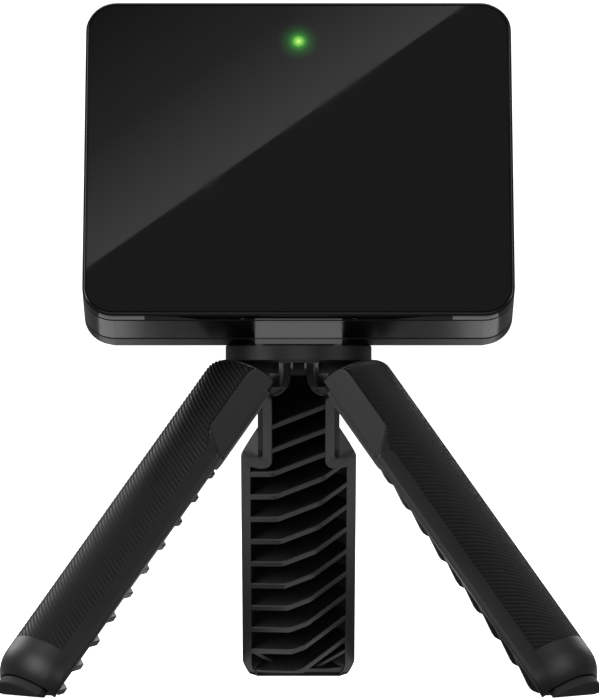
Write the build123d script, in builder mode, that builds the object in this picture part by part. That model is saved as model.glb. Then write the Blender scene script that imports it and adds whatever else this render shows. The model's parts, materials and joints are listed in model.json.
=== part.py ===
from build123d import *
import os
from math import cos, radians, sin, tan

# A pocket golf launch monitor: a flat radar unit that leans back on a three-leg table tripod.
# Millimetres.  +Z is up, the glass face looks towards -Y, and the feet stand on Z = 0.
# The origin is the middle of the footprint, so the hub's axis stands a little in front of it.

os.makedirs("parts", exist_ok=True)

# ---- driving dimensions: radar unit ----
UNIT_WIDTH = 88.9
UNIT_HEIGHT = 71.1
UNIT_DEPTH = 25.4
CORNER_R = 6.4
LEAN = 21.5              # degrees that the face leans back from the vertical
FACE_TO_HUB = 19.0       # the face's bottom edge stands this far in front of the hub's axis
STRAIGHT_DEPTH = 16.0    # the sides are square to the face down to here, then they taper
COVER_DEPTH = 2.5
GASKET = 0.35
MID_BACK = 12.3
WALL = 2.4
COVER_WALL = 1.4
FACE_BEVEL = 0.45
SEAM_ROUND = 0.25        # the shells' edges are eased beside each seam

# ---- driving dimensions: fits ----
FIT = 0.05               # round pieces that are pressed or slid in
EASY_FIT = 0.2           # round pieces that move or drop in

# ---- driving dimensions: tripod ----
HUB_Y = -13.6            # the hub's axis, measured from the middle of the footprint
HUB_R = 15.2
HUB_BOTTOM = 68.0
HUB_THICK = 3.5
HINGE_RADIUS = 8.0
HINGE_RISE = 1.8         # hinge axis above the hub's lower face
LEG_OPEN = 39.0          # degrees between an open leg and the vertical
LEG_R = 14.8             # three folded legs make a round handle of this radius
LEG_OFFSET = 7.38        # from the leg's own centre line to its hinge axis
LEG_TOP = 6.5            # distances along the leg are measured from the hinge
LEG_END = 88.2
LEG_HALF_WIDTH = 12.25
NECK_HALF_WIDTH = 8.65
NECK_RIM = 3.05
NECK_END = 22.9
SHOULDER_END = 27.7
LEG_WALL = 1.8
RIM_WIDTH = 2.1
SECTOR = 120.0

HUB_TOP = HUB_BOTTOM + HUB_THICK
HINGE_Z = HUB_BOTTOM + HINGE_RISE
LEG_AZIMUTHS = {"left": -60.0, "right": 60.0, "rear": 180.0}   # from the front, towards +X

# ---- frames ----
LEAN_COS = cos(radians(LEAN))
LEAN_SIN = sin(radians(LEAN))
FACE_BOTTOM = Vector(0, HUB_Y - FACE_TO_HUB, HUB_TOP + STRAIGHT_DEPTH * LEAN_SIN)
FACE = Plane(origin=FACE_BOTTOM, x_dir=(1, 0, 0), z_dir=(0, -LEAN_COS, LEAN_SIN))
HUB_AXIS = Vector(0, HUB_Y, 0)


def behind(depth):
    """The plane parallel to the glass face, this far behind it."""
    return FACE.offset(-depth)


def unit_plane(x, y, depth, x_dir, z_dir):
    """A plane in the unit, given in its own width, height and depth directions."""
    origin = FACE.from_local_coords(Vector(x, y, -depth))
    across = FACE.x_dir * x_dir[0] + FACE.y_dir * x_dir[1] + FACE.z_dir * x_dir[2]
    normal = FACE.x_dir * z_dir[0] + FACE.y_dir * z_dir[1] + FACE.z_dir * z_dir[2]
    return Plane(origin=origin, x_dir=across, z_dir=normal)


def hub_plane(height):
    """A horizontal plane centred on the hub's axis."""
    return Plane(origin=HUB_AXIS + Vector(0, 0, height))


def leg_frame(azimuth):
    """The leg's own frame: X across it, Y outwards from its centre line, Z down towards its foot."""
    out = Vector(sin(radians(azimuth)), -cos(radians(azimuth)), 0)
    down = out * sin(radians(LEG_OPEN)) - Vector(0, 0, cos(radians(LEG_OPEN)))
    outward = out * cos(radians(LEG_OPEN)) + Vector(0, 0, sin(radians(LEG_OPEN)))
    hinge = HUB_AXIS + out * HINGE_RADIUS + Vector(0, 0, HINGE_Z)
    return Plane(origin=hinge - outward * LEG_OFFSET, x_dir=outward.cross(down), z_dir=down)


def save(part, name):
    part.label = name
    export_step(part, f"parts/{name}.step")


# =====================================================================================
# Radar unit
# =====================================================================================
LED_HEIGHT = 62.0
PIPE_R = 1.5
PIPE_FLANGE_R = 2.3
PIPE_FLANGE = 0.6

LEDGE_INSET = 5.8        # an inner ledge carries the radar board
LEDGE_DEPTH = 4.7
LEDGE_THICK = 1.5
BOARD = 1.2
BOARD_INSET = 2.8
SPACER = 3.4
MAIN_FRONT = LEDGE_DEPTH + SPACER

SCREW_X = 36.0
SCREW_LOW = 11.5
SCREW_HIGH = 60.0
BOSS_R = 2.9
SCREW_R = 1.0
HEAD_R = 2.1
HEAD_DEPTH = 1.6
SCREW_POINTS = [(x, y) for x in (-SCREW_X, SCREW_X) for y in (SCREW_LOW, SCREW_HIGH)]


def outline(inset, mode=Mode.ADD):
    """The unit's rounded front outline, drawn in by inset, with its origin at the face's foot."""
    width = UNIT_WIDTH - 2 * inset
    height = UNIT_HEIGHT - 2 * inset
    with Locations((0, UNIT_HEIGHT / 2)):
        RectangleRounded(width, height, CORNER_R - inset, mode=mode)


def ease_seam(shell, end):
    """Rounds a shell's outer edge at its front (-1) or back (0) end."""
    rim = shell.faces().sort_by(Axis(FACE.origin, FACE.z_dir))[end]
    fillet(rim.outer_wire().edges(), SEAM_ROUND)


# ---- front cover: a shallow glossy tray with a bright bevel round its face ----
with BuildPart() as front_cover:
    with BuildSketch(behind(COVER_DEPTH)):
        outline(0)
    extrude(amount=COVER_DEPTH)
    face_edges = front_cover.faces().sort_by(Axis(FACE.origin, FACE.z_dir))[-1].edges()
    chamfer(face_edges, FACE_BEVEL)
    with BuildSketch(behind(COVER_DEPTH)):
        outline(WALL)
    extrude(amount=COVER_DEPTH - COVER_WALL, mode=Mode.SUBTRACT)
    with BuildSketch(FACE):
        with Locations((0, LED_HEIGHT)):
            Circle(PIPE_R + FIT)
    extrude(amount=-COVER_DEPTH, mode=Mode.SUBTRACT)
save(front_cover.part, "front_cover")

# ---- light pipe: carries the status light through the cover ----
with BuildPart() as light_pipe:
    with BuildSketch(FACE):
        with Locations((0, LED_HEIGHT)):
            Circle(PIPE_R)
    extrude(amount=-(COVER_WALL + PIPE_FLANGE))
    with BuildSketch(behind(COVER_WALL)):
        with Locations((0, LED_HEIGHT)):
            Circle(PIPE_FLANGE_R)
    extrude(amount=-PIPE_FLANGE)
save(light_pipe.part, "light_pipe")


def gasket_ring(front, inset, width):
    """A flat sealing ring between two shells."""
    with BuildPart() as ring:
        with BuildSketch(behind(front)):
            outline(inset)
            outline(inset + width, mode=Mode.SUBTRACT)
        extrude(amount=-GASKET)
    return ring.part


GASKET_INSET = 0.4
GASKET_WIDTH = WALL - 2 * GASKET_INSET
save(gasket_ring(COVER_DEPTH, GASKET_INSET, GASKET_WIDTH), "front_gasket")
save(gasket_ring(MID_BACK, GASKET_INSET, GASKET_WIDTH), "rear_gasket")

# ---- side controls: sizes shared by the housing and the pieces that sit in it ----
BUTTON_Y = 44.0
BUTTON_DEPTH = 8.9
BUTTON_LENGTH = 11.0
BUTTON_WIDTH = 4.0
BUTTON_FLANGE = 0.8
BUTTON_RIM = 0.6
BUTTON_TRAVEL = 0.4
BUTTON_EDGE = 0.5

PORT_Y = 36.0
PORT_DEPTH = 6.6
PORT_LENGTH = 8.6
PORT_WIDTH = 3.5
CAP_LENGTH = 15.0
CAP_WIDTH = 6.0
CAP_THICK = 1.1
CAP_EDGE = 0.3
CAP_NOTCH_R = 1.2
CAP_TONGUE = 0.9
CAP_TONGUE_GAP = 0.35

SIDE = UNIT_WIDTH / 2


def right_side(out_by, y, depth):
    """A plane on the unit's right side, looking outwards, with X up the face."""
    return unit_plane(SIDE + out_by, y, depth, (0, 1, 0), (1, 0, 0))


def left_side(out_by, y, depth):
    """A plane on the unit's left side, looking outwards, with X up the face."""
    return unit_plane(-SIDE - out_by, y, depth, (0, 1, 0), (-1, 0, 0))


# ---- middle housing: the satin band, open at front and back ----
MID_FRONT = COVER_DEPTH + GASKET
with BuildPart() as mid_housing:
    with BuildSketch(behind(MID_BACK)):
        outline(0)
        outline(WALL, mode=Mode.SUBTRACT)
    extrude(amount=MID_BACK - MID_FRONT)
    ease_seam(mid_housing, -1)
    ease_seam(mid_housing, 0)
    # the ledge under the radar board
    with BuildSketch(behind(LEDGE_DEPTH)):
        outline(WALL / 2)
        with Locations((0, UNIT_HEIGHT / 2)):
            Rectangle(
                UNIT_WIDTH - 2 * LEDGE_INSET, UNIT_HEIGHT - 2 * LEDGE_INSET, mode=Mode.SUBTRACT
            )
    extrude(amount=-LEDGE_THICK)
    # corner bosses that the long screws reach
    with BuildSketch(behind(LEDGE_DEPTH)):
        with Locations(*SCREW_POINTS):
            Circle(BOSS_R)
    extrude(amount=-(MID_BACK - LEDGE_DEPTH))
    with BuildSketch(behind(MID_BACK)):
        for x, y in SCREW_POINTS:
            with Locations(((x + SIDE * (1 if x > 0 else -1)) / 2, y)):
                Rectangle(SIDE - SCREW_X - WALL / 2, BOSS_R)
    extrude(amount=MID_BACK - LEDGE_DEPTH - LEDGE_THICK)
    with BuildSketch(behind(MID_BACK)):
        with Locations(*SCREW_POINTS):
            Circle(SCREW_R)
    extrude(amount=MID_BACK - LEDGE_DEPTH - LEDGE_THICK, mode=Mode.SUBTRACT)
    # the button's slot
    with BuildSketch(right_side(0, BUTTON_Y, BUTTON_DEPTH)):
        SlotOverall(BUTTON_LENGTH + 2 * EASY_FIT, BUTTON_WIDTH + 2 * EASY_FIT)
    extrude(amount=-WALL, mode=Mode.SUBTRACT)
    # the flap's shallow seat and the port behind it
    with BuildSketch(left_side(0, PORT_Y, PORT_DEPTH)):
        SlotOverall(CAP_LENGTH + 2 * EASY_FIT, CAP_WIDTH + 2 * EASY_FIT)
    extrude(amount=-(CAP_THICK + EASY_FIT / 2), mode=Mode.SUBTRACT)
    with BuildSketch(left_side(0, PORT_Y, PORT_DEPTH)):
        SlotOverall(PORT_LENGTH, PORT_WIDTH)
    extrude(amount=-WALL, mode=Mode.SUBTRACT)
    # the ledge gives way to the port's metal shell
    with BuildSketch(left_side(-WALL, PORT_Y, PORT_DEPTH)):
        Rectangle(PORT_LENGTH, PORT_WIDTH)
    extrude(amount=-LEDGE_INSET, mode=Mode.SUBTRACT)
save(mid_housing.part, "mid_housing")

# ---- rear cover: its lower side tapers at the lean angle, so it gives the hub a level landing ----
REAR_FRONT = MID_BACK + GASKET
TAPER_DEPTH = UNIT_DEPTH - STRAIGHT_DEPTH
BACK_WALL = 2.0
BACK_ROUND = 1.6
INSERT_R = 4.0
INSERT_LENGTH = 7.5
INSERT_FLANGE_R = 5.0
INSERT_FLANGE = 1.2
INSERT_BOSS_R = 5.6
INSERT_BOSS_START = 1.0
STUD_R = 3.14            # a 1/4"-20 thread, drawn as its plain outer cylinder
STUD_FIT = 0.06
STUD_REACH = 6.2
HEAD_SUNK = 1.0          # the screw heads sit this far below the back

with BuildPart() as rear_cover:
    with BuildSketch(behind(REAR_FRONT)):
        outline(0)
    extrude(amount=-(STRAIGHT_DEPTH - REAR_FRONT))
    with BuildSketch(behind(STRAIGHT_DEPTH)):
        outline(0)
    extrude(amount=-TAPER_DEPTH, taper=LEAN)
    back_edges = rear_cover.faces().sort_by(Axis(FACE.origin, FACE.z_dir))[0].edges()
    fillet(back_edges, BACK_ROUND)
    ease_seam(rear_cover, -1)
    with BuildSketch(behind(REAR_FRONT)):
        outline(WALL)
    extrude(amount=-(STRAIGHT_DEPTH - REAR_FRONT), mode=Mode.SUBTRACT)
    with BuildSketch(behind(STRAIGHT_DEPTH)):
        outline(WALL)
    extrude(amount=-(TAPER_DEPTH - BACK_WALL), taper=LEAN, mode=Mode.SUBTRACT)
    # the boss that holds the thread insert stands on the landing
    with BuildSketch(hub_plane(HUB_TOP + INSERT_BOSS_START)):
        Circle(INSERT_BOSS_R)
    extrude(amount=INSERT_LENGTH - INSERT_BOSS_START)
    with BuildSketch(hub_plane(HUB_TOP)):
        Circle(INSERT_R)
    extrude(amount=INSERT_LENGTH, mode=Mode.SUBTRACT)
    # screw bosses, and the counterbores on the back
    with BuildSketch(behind(REAR_FRONT)):
        with Locations(*SCREW_POINTS):
            Circle(BOSS_R)
    extrude(amount=-(UNIT_DEPTH - REAR_FRONT - BACK_WALL / 2))
    with BuildSketch(behind(REAR_FRONT)):
        with Locations(*SCREW_POINTS):
            Circle(SCREW_R + FIT)
    extrude(amount=-UNIT_DEPTH, mode=Mode.SUBTRACT)
    with BuildSketch(behind(UNIT_DEPTH)):
        with Locations(*SCREW_POINTS):
            Circle(HEAD_R + EASY_FIT)
    extrude(amount=HEAD_DEPTH + HEAD_SUNK, mode=Mode.SUBTRACT)
save(rear_cover.part, "rear_cover")

# ---- four long screws hold the three shells together ----
TIP_ROOM = 0.6
SCREW_TIP = LEDGE_DEPTH + LEDGE_THICK + TIP_ROOM
SCREW_SEAT = UNIT_DEPTH - HEAD_DEPTH - HEAD_SUNK
DRIVE_R = 0.9
DRIVE_DEPTH = 0.9
with BuildPart() as housing_screws:
    with BuildSketch(behind(SCREW_SEAT)):
        with Locations(*SCREW_POINTS):
            Circle(SCREW_R)
    extrude(amount=SCREW_SEAT - SCREW_TIP)
    with BuildSketch(behind(SCREW_SEAT)):
        with Locations(*SCREW_POINTS):
            Circle(HEAD_R)
    extrude(amount=-HEAD_DEPTH)
    with BuildSketch(behind(SCREW_SEAT + HEAD_DEPTH)):
        with Locations(*SCREW_POINTS):
            RegularPolygon(DRIVE_R, 6)
    extrude(amount=DRIVE_DEPTH, mode=Mode.SUBTRACT)
save(housing_screws.part, "housing_screws")

# ---- brass insert for the tripod's thread ----
with BuildPart() as thread_insert:
    with BuildSketch(hub_plane(HUB_TOP)):
        Circle(INSERT_R)
    extrude(amount=INSERT_LENGTH)
    with BuildSketch(hub_plane(HUB_TOP + INSERT_LENGTH)):
        RegularPolygon(INSERT_FLANGE_R, 6)
    extrude(amount=INSERT_FLANGE)
    with BuildSketch(hub_plane(HUB_TOP)):
        Circle(STUD_R + STUD_FIT)
    extrude(amount=INSERT_LENGTH, mode=Mode.SUBTRACT)
save(thread_insert.part, "thread_insert")

# ---- radar board with its patch antennas ----
SPACER_POINTS = [(x, y) for x in (-30.0, 30.0) for y in (16.0, 56.0)]
SPACER_R = 2.4
SMALL_SCREW_R = 0.8
SMALL_HEAD_R = 1.5
SMALL_HEAD = 0.7
RADAR_FRONT = LEDGE_DEPTH - BOARD

with BuildPart() as radar_board:
    with BuildSketch(behind(LEDGE_DEPTH)):
        outline(BOARD_INSET)
        with Locations(*SPACER_POINTS):
            Circle(SMALL_SCREW_R + FIT, mode=Mode.SUBTRACT)
    extrude(amount=BOARD)
save(radar_board.part, "radar_board")

PATCH = 4.2
PATCH_PITCH = 7.0
PATCH_THICK = 0.15
PATCH_ARRAYS = [(-20.0, 35.0, 2, 6), (0.0, 31.5, 2, 4), (20.0, 35.0, 2, 6)]
with BuildPart() as patch_antennas:
    with BuildSketch(behind(RADAR_FRONT)):
        for x, y, columns, rows in PATCH_ARRAYS:
            with Locations((x, y)):
                with GridLocations(PATCH_PITCH, PATCH_PITCH, columns, rows):
                    Rectangle(PATCH, PATCH)
    extrude(amount=PATCH_THICK)
save(patch_antennas.part, "patch_antennas")

LED_LENGTH = 2.0
LED_WIDTH = 1.25
LED_THICK = 0.8
LED_EDGE = 0.25
with BuildPart() as status_led:
    with BuildSketch(behind(RADAR_FRONT)):
        with Locations((0, LED_HEIGHT)):
            Rectangle(LED_LENGTH, LED_WIDTH)
    extrude(amount=LED_THICK)
    lamp_edges = status_led.faces().sort_by(Axis(FACE.origin, FACE.z_dir))[-1].edges()
    fillet(lamp_edges, LED_EDGE)
save(status_led.part, "status_led")

# ---- main board, hung on four spacers behind the radar board ----
MAIN_WIDTH = 81.0
MAIN_HEIGHT = 45.0
MAIN_Y = 35.8
MAIN_CORNER_R = 2.0
BOSS_ROOM = 0.35
with BuildPart() as main_board:
    with BuildSketch(behind(MAIN_FRONT + BOARD)):
        with Locations((0, MAIN_Y)):
            RectangleRounded(MAIN_WIDTH, MAIN_HEIGHT, MAIN_CORNER_R)
        with Locations(*SPACER_POINTS):
            Circle(SMALL_SCREW_R + FIT, mode=Mode.SUBTRACT)
        with Locations(*SCREW_POINTS):
            Circle(BOSS_R + BOSS_ROOM, mode=Mode.SUBTRACT)
    extrude(amount=BOARD)
save(main_board.part, "main_board")

with BuildPart() as board_spacers:
    with BuildSketch(behind(LEDGE_DEPTH)):
        with Locations(*SPACER_POINTS):
            RegularPolygon(SPACER_R, 6)
        with Locations(*SPACER_POINTS):
            Circle(SMALL_SCREW_R, mode=Mode.SUBTRACT)
    extrude(amount=-SPACER)
save(board_spacers.part, "board_spacers")

BOARD_SCREW_END = LEDGE_DEPTH + SPACER / 2
with BuildPart() as board_screws:
    with BuildSketch(behind(RADAR_FRONT)):
        with Locations(*SPACER_POINTS):
            Circle(SMALL_HEAD_R)
    extrude(amount=SMALL_HEAD)
    with BuildSketch(behind(RADAR_FRONT)):
        with Locations(*SPACER_POINTS):
            Circle(SMALL_SCREW_R)
    extrude(amount=-(BOARD_SCREW_END - RADAR_FRONT))
save(board_screws.part, "board_screws")

CONNECTOR_LENGTH = 22.0
CONNECTOR_WIDTH = 4.4
CONNECTOR_Y = 50.0
CONNECTOR_CORNER_R = 0.6
with BuildPart() as board_connector:
    with BuildSketch(behind(LEDGE_DEPTH)):
        with Locations((0, CONNECTOR_Y)):
            RectangleRounded(CONNECTOR_LENGTH, CONNECTOR_WIDTH, CONNECTOR_CORNER_R)
    extrude(amount=-SPACER)
save(board_connector.part, "board_connector")

CAN_LENGTH = 30.0
CAN_WIDTH = 24.0
CAN_HEIGHT = 2.6
CAN_WALL = 0.3
CAN_CORNER_R = 1.0
CAN_X = -8.0
CAN_Y = 34.0
MAIN_BACK = MAIN_FRONT + BOARD
with BuildPart() as shield_can:
    with BuildSketch(behind(MAIN_BACK)):
        with Locations((CAN_X, CAN_Y)):
            RectangleRounded(CAN_LENGTH, CAN_WIDTH, CAN_CORNER_R)
    extrude(amount=-CAN_HEIGHT)
    with BuildSketch(behind(MAIN_BACK)):
        with Locations((CAN_X, CAN_Y)):
            Rectangle(CAN_LENGTH - 2 * CAN_WALL, CAN_WIDTH - 2 * CAN_WALL)
    extrude(amount=-(CAN_HEIGHT - CAN_WALL), mode=Mode.SUBTRACT)
save(shield_can.part, "shield_can")

# ---- battery in the rear cover, with its foam pad ----
BATTERY_WIDTH = 54.0
BATTERY_HEIGHT = 36.0
BATTERY_THICK = 7.0
BATTERY_Y = 38.0
BATTERY_CORNER_R = 3.0
BATTERY_EDGE = 1.0
FOAM = 0.8
FOAM_INSET = 4.0
BATTERY_BACK = UNIT_DEPTH - BACK_WALL - FOAM
with BuildPart() as battery_pack:
    with BuildSketch(behind(BATTERY_BACK)):
        with Locations((0, BATTERY_Y)):
            RectangleRounded(BATTERY_WIDTH, BATTERY_HEIGHT, BATTERY_CORNER_R)
    extrude(amount=BATTERY_THICK)
    fillet(battery_pack.edges().group_by(Axis(FACE.origin, FACE.z_dir))[-1], BATTERY_EDGE)
save(battery_pack.part, "battery_pack")

with BuildPart() as battery_foam:
    with BuildSketch(behind(BATTERY_BACK + FOAM)):
        with Locations((0, BATTERY_Y)):
            Rectangle(BATTERY_WIDTH - 2 * FOAM_INSET, BATTERY_HEIGHT - 2 * FOAM_INSET)
    extrude(amount=FOAM)
save(battery_foam.part, "battery_foam")

# ---- power button: a capsule with an inner flange and a stem to the switch ----
FLANGE_OUTER = -WALL - FIT
with BuildPart() as power_button:
    with BuildSketch(right_side(0, BUTTON_Y, BUTTON_DEPTH)):
        SlotOverall(BUTTON_LENGTH, BUTTON_WIDTH)
    extrude(amount=-(WALL + FIT))
    fillet(power_button.edges().group_by(Axis(FACE.origin, FACE.x_dir))[-1], BUTTON_EDGE)
    with BuildSketch(right_side(FLANGE_OUTER, BUTTON_Y, BUTTON_DEPTH)):
        SlotOverall(BUTTON_LENGTH + 2 * BUTTON_RIM, BUTTON_WIDTH + 2 * BUTTON_RIM)
    extrude(amount=-BUTTON_FLANGE)
save(power_button.part, "power_button")

SWITCH_LENGTH = 5.0
SWITCH_WIDTH = 2.6
SWITCH_HEIGHT = 2.8
PLUNGER_R = 0.7
PLUNGER_TOP = FLANGE_OUTER - BUTTON_FLANGE
SWITCH_FACE = PLUNGER_TOP - BUTTON_TRAVEL - EASY_FIT
PLUNGER_DEEP = 1.2
SWITCH_DEPTH = MAIN_BACK + SWITCH_WIDTH / 2
with BuildPart() as switch_body:
    with BuildSketch(right_side(SWITCH_FACE, BUTTON_Y, SWITCH_DEPTH)):
        Rectangle(SWITCH_LENGTH, SWITCH_WIDTH)
    extrude(amount=-SWITCH_HEIGHT)
    with BuildSketch(right_side(SWITCH_FACE, BUTTON_Y, SWITCH_DEPTH)):
        Circle(PLUNGER_R + EASY_FIT)
    extrude(amount=-(PLUNGER_DEEP + BUTTON_TRAVEL + EASY_FIT), mode=Mode.SUBTRACT)
save(switch_body.part, "switch_body")

with BuildPart() as switch_plunger:
    with BuildSketch(right_side(PLUNGER_TOP, BUTTON_Y, SWITCH_DEPTH)):
        Circle(PLUNGER_R)
    extrude(amount=-(PLUNGER_TOP - SWITCH_FACE + PLUNGER_DEEP))
save(switch_plunger.part, "switch_plunger")

# ---- charging port and its weather flap ----
USB_LENGTH = 7.5
USB_WIDTH = 2.9
USB_DEEP = 5.6
USB_WALL = 0.3
USB_FACE = -WALL
with BuildPart() as usb_receptacle:
    with BuildSketch(left_side(USB_FACE, PORT_Y, PORT_DEPTH)):
        Rectangle(USB_LENGTH, USB_WIDTH)
    extrude(amount=-USB_DEEP)
    with BuildSketch(left_side(USB_FACE, PORT_Y, PORT_DEPTH)):
        Rectangle(USB_LENGTH - 2 * USB_WALL, USB_WIDTH - 2 * USB_WALL)
        Rectangle(USB_LENGTH - 6 * USB_WALL, 2 * USB_WALL, mode=Mode.SUBTRACT)
    extrude(amount=-(USB_DEEP - 2 * USB_WALL), mode=Mode.SUBTRACT)
save(usb_receptacle.part, "usb_receptacle")

with BuildPart() as usb_cap:
    with BuildSketch(left_side(0, PORT_Y, PORT_DEPTH)):
        SlotOverall(CAP_LENGTH, CAP_WIDTH)
    extrude(amount=-CAP_THICK)
    fillet(usb_cap.edges().group_by(Axis(FACE.origin, FACE.x_dir))[0], CAP_EDGE)
    with BuildSketch(left_side(-CAP_THICK, PORT_Y, PORT_DEPTH)):
        SlotOverall(PORT_LENGTH - 2 * CAP_TONGUE_GAP, PORT_WIDTH - 2 * CAP_TONGUE_GAP)
    extrude(amount=-CAP_TONGUE)
    # a finger notch at the free end
    with BuildSketch(left_side(0, PORT_Y + CAP_LENGTH / 2, PORT_DEPTH)):
        Circle(CAP_NOTCH_R)
    extrude(amount=-CAP_THICK / 2, mode=Mode.SUBTRACT)
save(usb_cap.part, "usb_cap")

# =====================================================================================
# Tripod hub
# =====================================================================================
SLOT_HALF_WIDTH = 3.4
SLOT_INNER = 6.2
SLOT_OUTER = 11.9
PIN_R = 0.8
PIN_FIT = 0.04
PIN_HALF_LENGTH = 5.4
RETAINER = 0.8
RETAINER_R = 13.4
RETAINER_SCREW_RADIUS = 10.4
COUNTERSINK = 45.0
HUB_BOSS_R = 4.2
TAB_WIDTH = 2.4          # a stop tab hangs between each leg's two cheeks
TAB_INNER = 5.4
TAB_OUTER = 9.8
TAB_DROP = 2.4
PAD_OUTER = 14.2
PAD_INNER = 12.2
PAD_THICK = 0.5
HUB_EDGE = 0.3
STUD_ROOT_R = 3.6
STUD_TIP = 0.6
SLOT_LENGTH = SLOT_OUTER - SLOT_INNER
SLOT_MIDDLE = (SLOT_OUTER + SLOT_INNER) / 2
LEG_ANGLES = [azimuth - 90 for azimuth in LEG_AZIMUTHS.values()]   # from +X, anticlockwise
SCREW_ANGLES = [angle + 60 for angle in LEG_ANGLES]
PLATE_TOP = HUB_BOTTOM + RETAINER

with BuildPart() as hub_body:
    with BuildSketch(hub_plane(HUB_BOTTOM)):
        Circle(HUB_R)
    extrude(amount=HUB_THICK)
    chamfer(hub_body.edges().filter_by(GeomType.CIRCLE), HUB_EDGE)
    # recess for the retaining plate, and for the pad on top
    with BuildSketch(hub_plane(HUB_BOTTOM)):
        Circle(RETAINER_R)
    extrude(amount=RETAINER, mode=Mode.SUBTRACT)
    with BuildSketch(hub_plane(HUB_TOP)):
        Circle(PAD_OUTER)
        Circle(PAD_INNER, mode=Mode.SUBTRACT)
    extrude(amount=-PAD_THICK, mode=Mode.SUBTRACT)
    # one slot for each leg's neck, with a groove across it for the hinge pin
    with BuildSketch(hub_plane(HUB_BOTTOM)):
        for angle in LEG_ANGLES:
            with PolarLocations(SLOT_MIDDLE, 1, start_angle=angle):
                Rectangle(SLOT_LENGTH, 2 * SLOT_HALF_WIDTH)
    extrude(amount=HUB_THICK, mode=Mode.SUBTRACT)
    with BuildSketch(hub_plane(PLATE_TOP)):
        for angle in LEG_ANGLES:
            with PolarLocations(HINGE_RADIUS, 1, start_angle=angle):
                Rectangle(2 * PIN_R, 2 * PIN_HALF_LENGTH)
    extrude(amount=HINGE_RISE - RETAINER, mode=Mode.SUBTRACT)
    for azimuth in LEG_AZIMUTHS.values():
        frame = leg_frame(azimuth)
        pin_middle = frame.from_local_coords(Vector(0, LEG_OFFSET, 0))
        with BuildSketch(Plane(origin=pin_middle, z_dir=frame.x_dir)):
            Circle(PIN_R)
        extrude(amount=PIN_HALF_LENGTH, both=True, mode=Mode.SUBTRACT)
    # solid middle, bored for the stud's root
    with BuildSketch(hub_plane(HUB_BOTTOM)):
        Circle(HUB_BOSS_R)
    extrude(amount=RETAINER)
    with BuildSketch(hub_plane(HUB_BOTTOM)):
        Circle(STUD_ROOT_R)
    extrude(amount=HUB_THICK, mode=Mode.SUBTRACT)
    with BuildSketch(hub_plane(PLATE_TOP)):
        for angle in SCREW_ANGLES:
            with PolarLocations(RETAINER_SCREW_RADIUS, 1, start_angle=angle):
                Circle(SMALL_SCREW_R)
    extrude(amount=HUB_THICK / 2, mode=Mode.SUBTRACT)
save(hub_body.part, "hub_body")

with BuildPart() as hub_pad:
    with BuildSketch(hub_plane(HUB_TOP - PAD_THICK)):
        Circle(PAD_OUTER)
        Circle(PAD_INNER, mode=Mode.SUBTRACT)
    extrude(amount=PAD_THICK)
save(hub_pad.part, "hub_pad")

with BuildPart() as tripod_stud:
    with BuildSketch(hub_plane(HUB_BOTTOM)):
        Circle(STUD_ROOT_R)
    extrude(amount=HUB_THICK)
    with BuildSketch(hub_plane(HUB_TOP)):
        Circle(STUD_R)
    extrude(amount=STUD_REACH)
    chamfer(tripod_stud.edges().sort_by(Axis.Z)[-1], STUD_TIP)
save(tripod_stud.part, "tripod_stud")


def screw_shape(angle, mode):
    """A countersunk screw, flush with the retaining plate."""
    with BuildSketch(hub_plane(HUB_BOTTOM)) as shank:
        with PolarLocations(RETAINER_SCREW_RADIUS, 1, start_angle=angle):
            Circle(SMALL_SCREW_R)
    extrude(shank.sketch, amount=RETAINER + HUB_THICK / 2, mode=mode)
    with BuildSketch(hub_plane(HUB_BOTTOM)) as head:
        with PolarLocations(RETAINER_SCREW_RADIUS, 1, start_angle=angle):
            Circle(SMALL_HEAD_R)
    extrude(head.sketch, amount=SMALL_HEAD_R - SMALL_SCREW_R, taper=COUNTERSINK, mode=mode)


with BuildPart() as pin_retainer:
    with BuildSketch(hub_plane(HUB_BOTTOM)):
        Circle(RETAINER_R)
        Circle(HUB_BOSS_R, mode=Mode.SUBTRACT)
        for angle in LEG_ANGLES:
            with PolarLocations(SLOT_MIDDLE, 1, start_angle=angle):
                Rectangle(SLOT_LENGTH, 2 * SLOT_HALF_WIDTH, mode=Mode.SUBTRACT)
    extrude(amount=RETAINER)
    for angle in SCREW_ANGLES:
        screw_shape(angle, Mode.SUBTRACT)
    with BuildSketch(hub_plane(HUB_BOTTOM - TAB_DROP)):
        for angle in LEG_ANGLES:
            with PolarLocations((TAB_INNER + TAB_OUTER) / 2, 1, start_angle=angle):
                Rectangle(TAB_OUTER - TAB_INNER, TAB_WIDTH)
    extrude(amount=TAB_DROP + RETAINER)
save(pin_retainer.part, "pin_retainer")

with BuildPart() as retainer_screws:
    for angle in SCREW_ANGLES:
        screw_shape(angle, Mode.ADD)
save(retainer_screws.part, "retainer_screws")

# =====================================================================================
# Legs: each is a third of a round handle, hollow and ribbed inside
# =====================================================================================
KNUCKLE_R = 1.5
CHEEK_OUTER = 3.1
CHEEK_INNER = 1.7
FLARE_HALF_WIDTH = 6.2
FLARE_OUT = 8.0
TOP_ROUND = 2.5
END_TAPER = 5.2          # length and depth of the curved taper above the foot
END_SETBACK = 2.1
RIB = 1.3
RIB_PITCH = 6.23
RIB_FIRST = 14.3
RIB_COUNT = 12
RIB_TILT = 25.5
RIB_EDGE_TOP = 4.68      # where the ribs' free edge would cross the hinge's level
RIB_EDGE_FALL = 0.0494   # how fast that edge nears the leg's centre line
FUNNEL_TOP = 3.8         # the channel between the cheeks widens from here to FUNNEL_END
FUNNEL_END = 8.6
END_WALL = 1.8
END_CHORD = 5.9          # the end wall stops short of the floor here
FOOT_HALF_WIDTH = 8.9
FOOT_INNER = 7.1
FOOT_R = 12.4
FOOT_END = 90.3
FOOT_STEM_R = 1.6
FOOT_STEM = 4.6
FOOT_BARB_R = 2.2
STEM_OUT = 9.6
WEDGE = tan(radians(SECTOR / 2))
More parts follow.
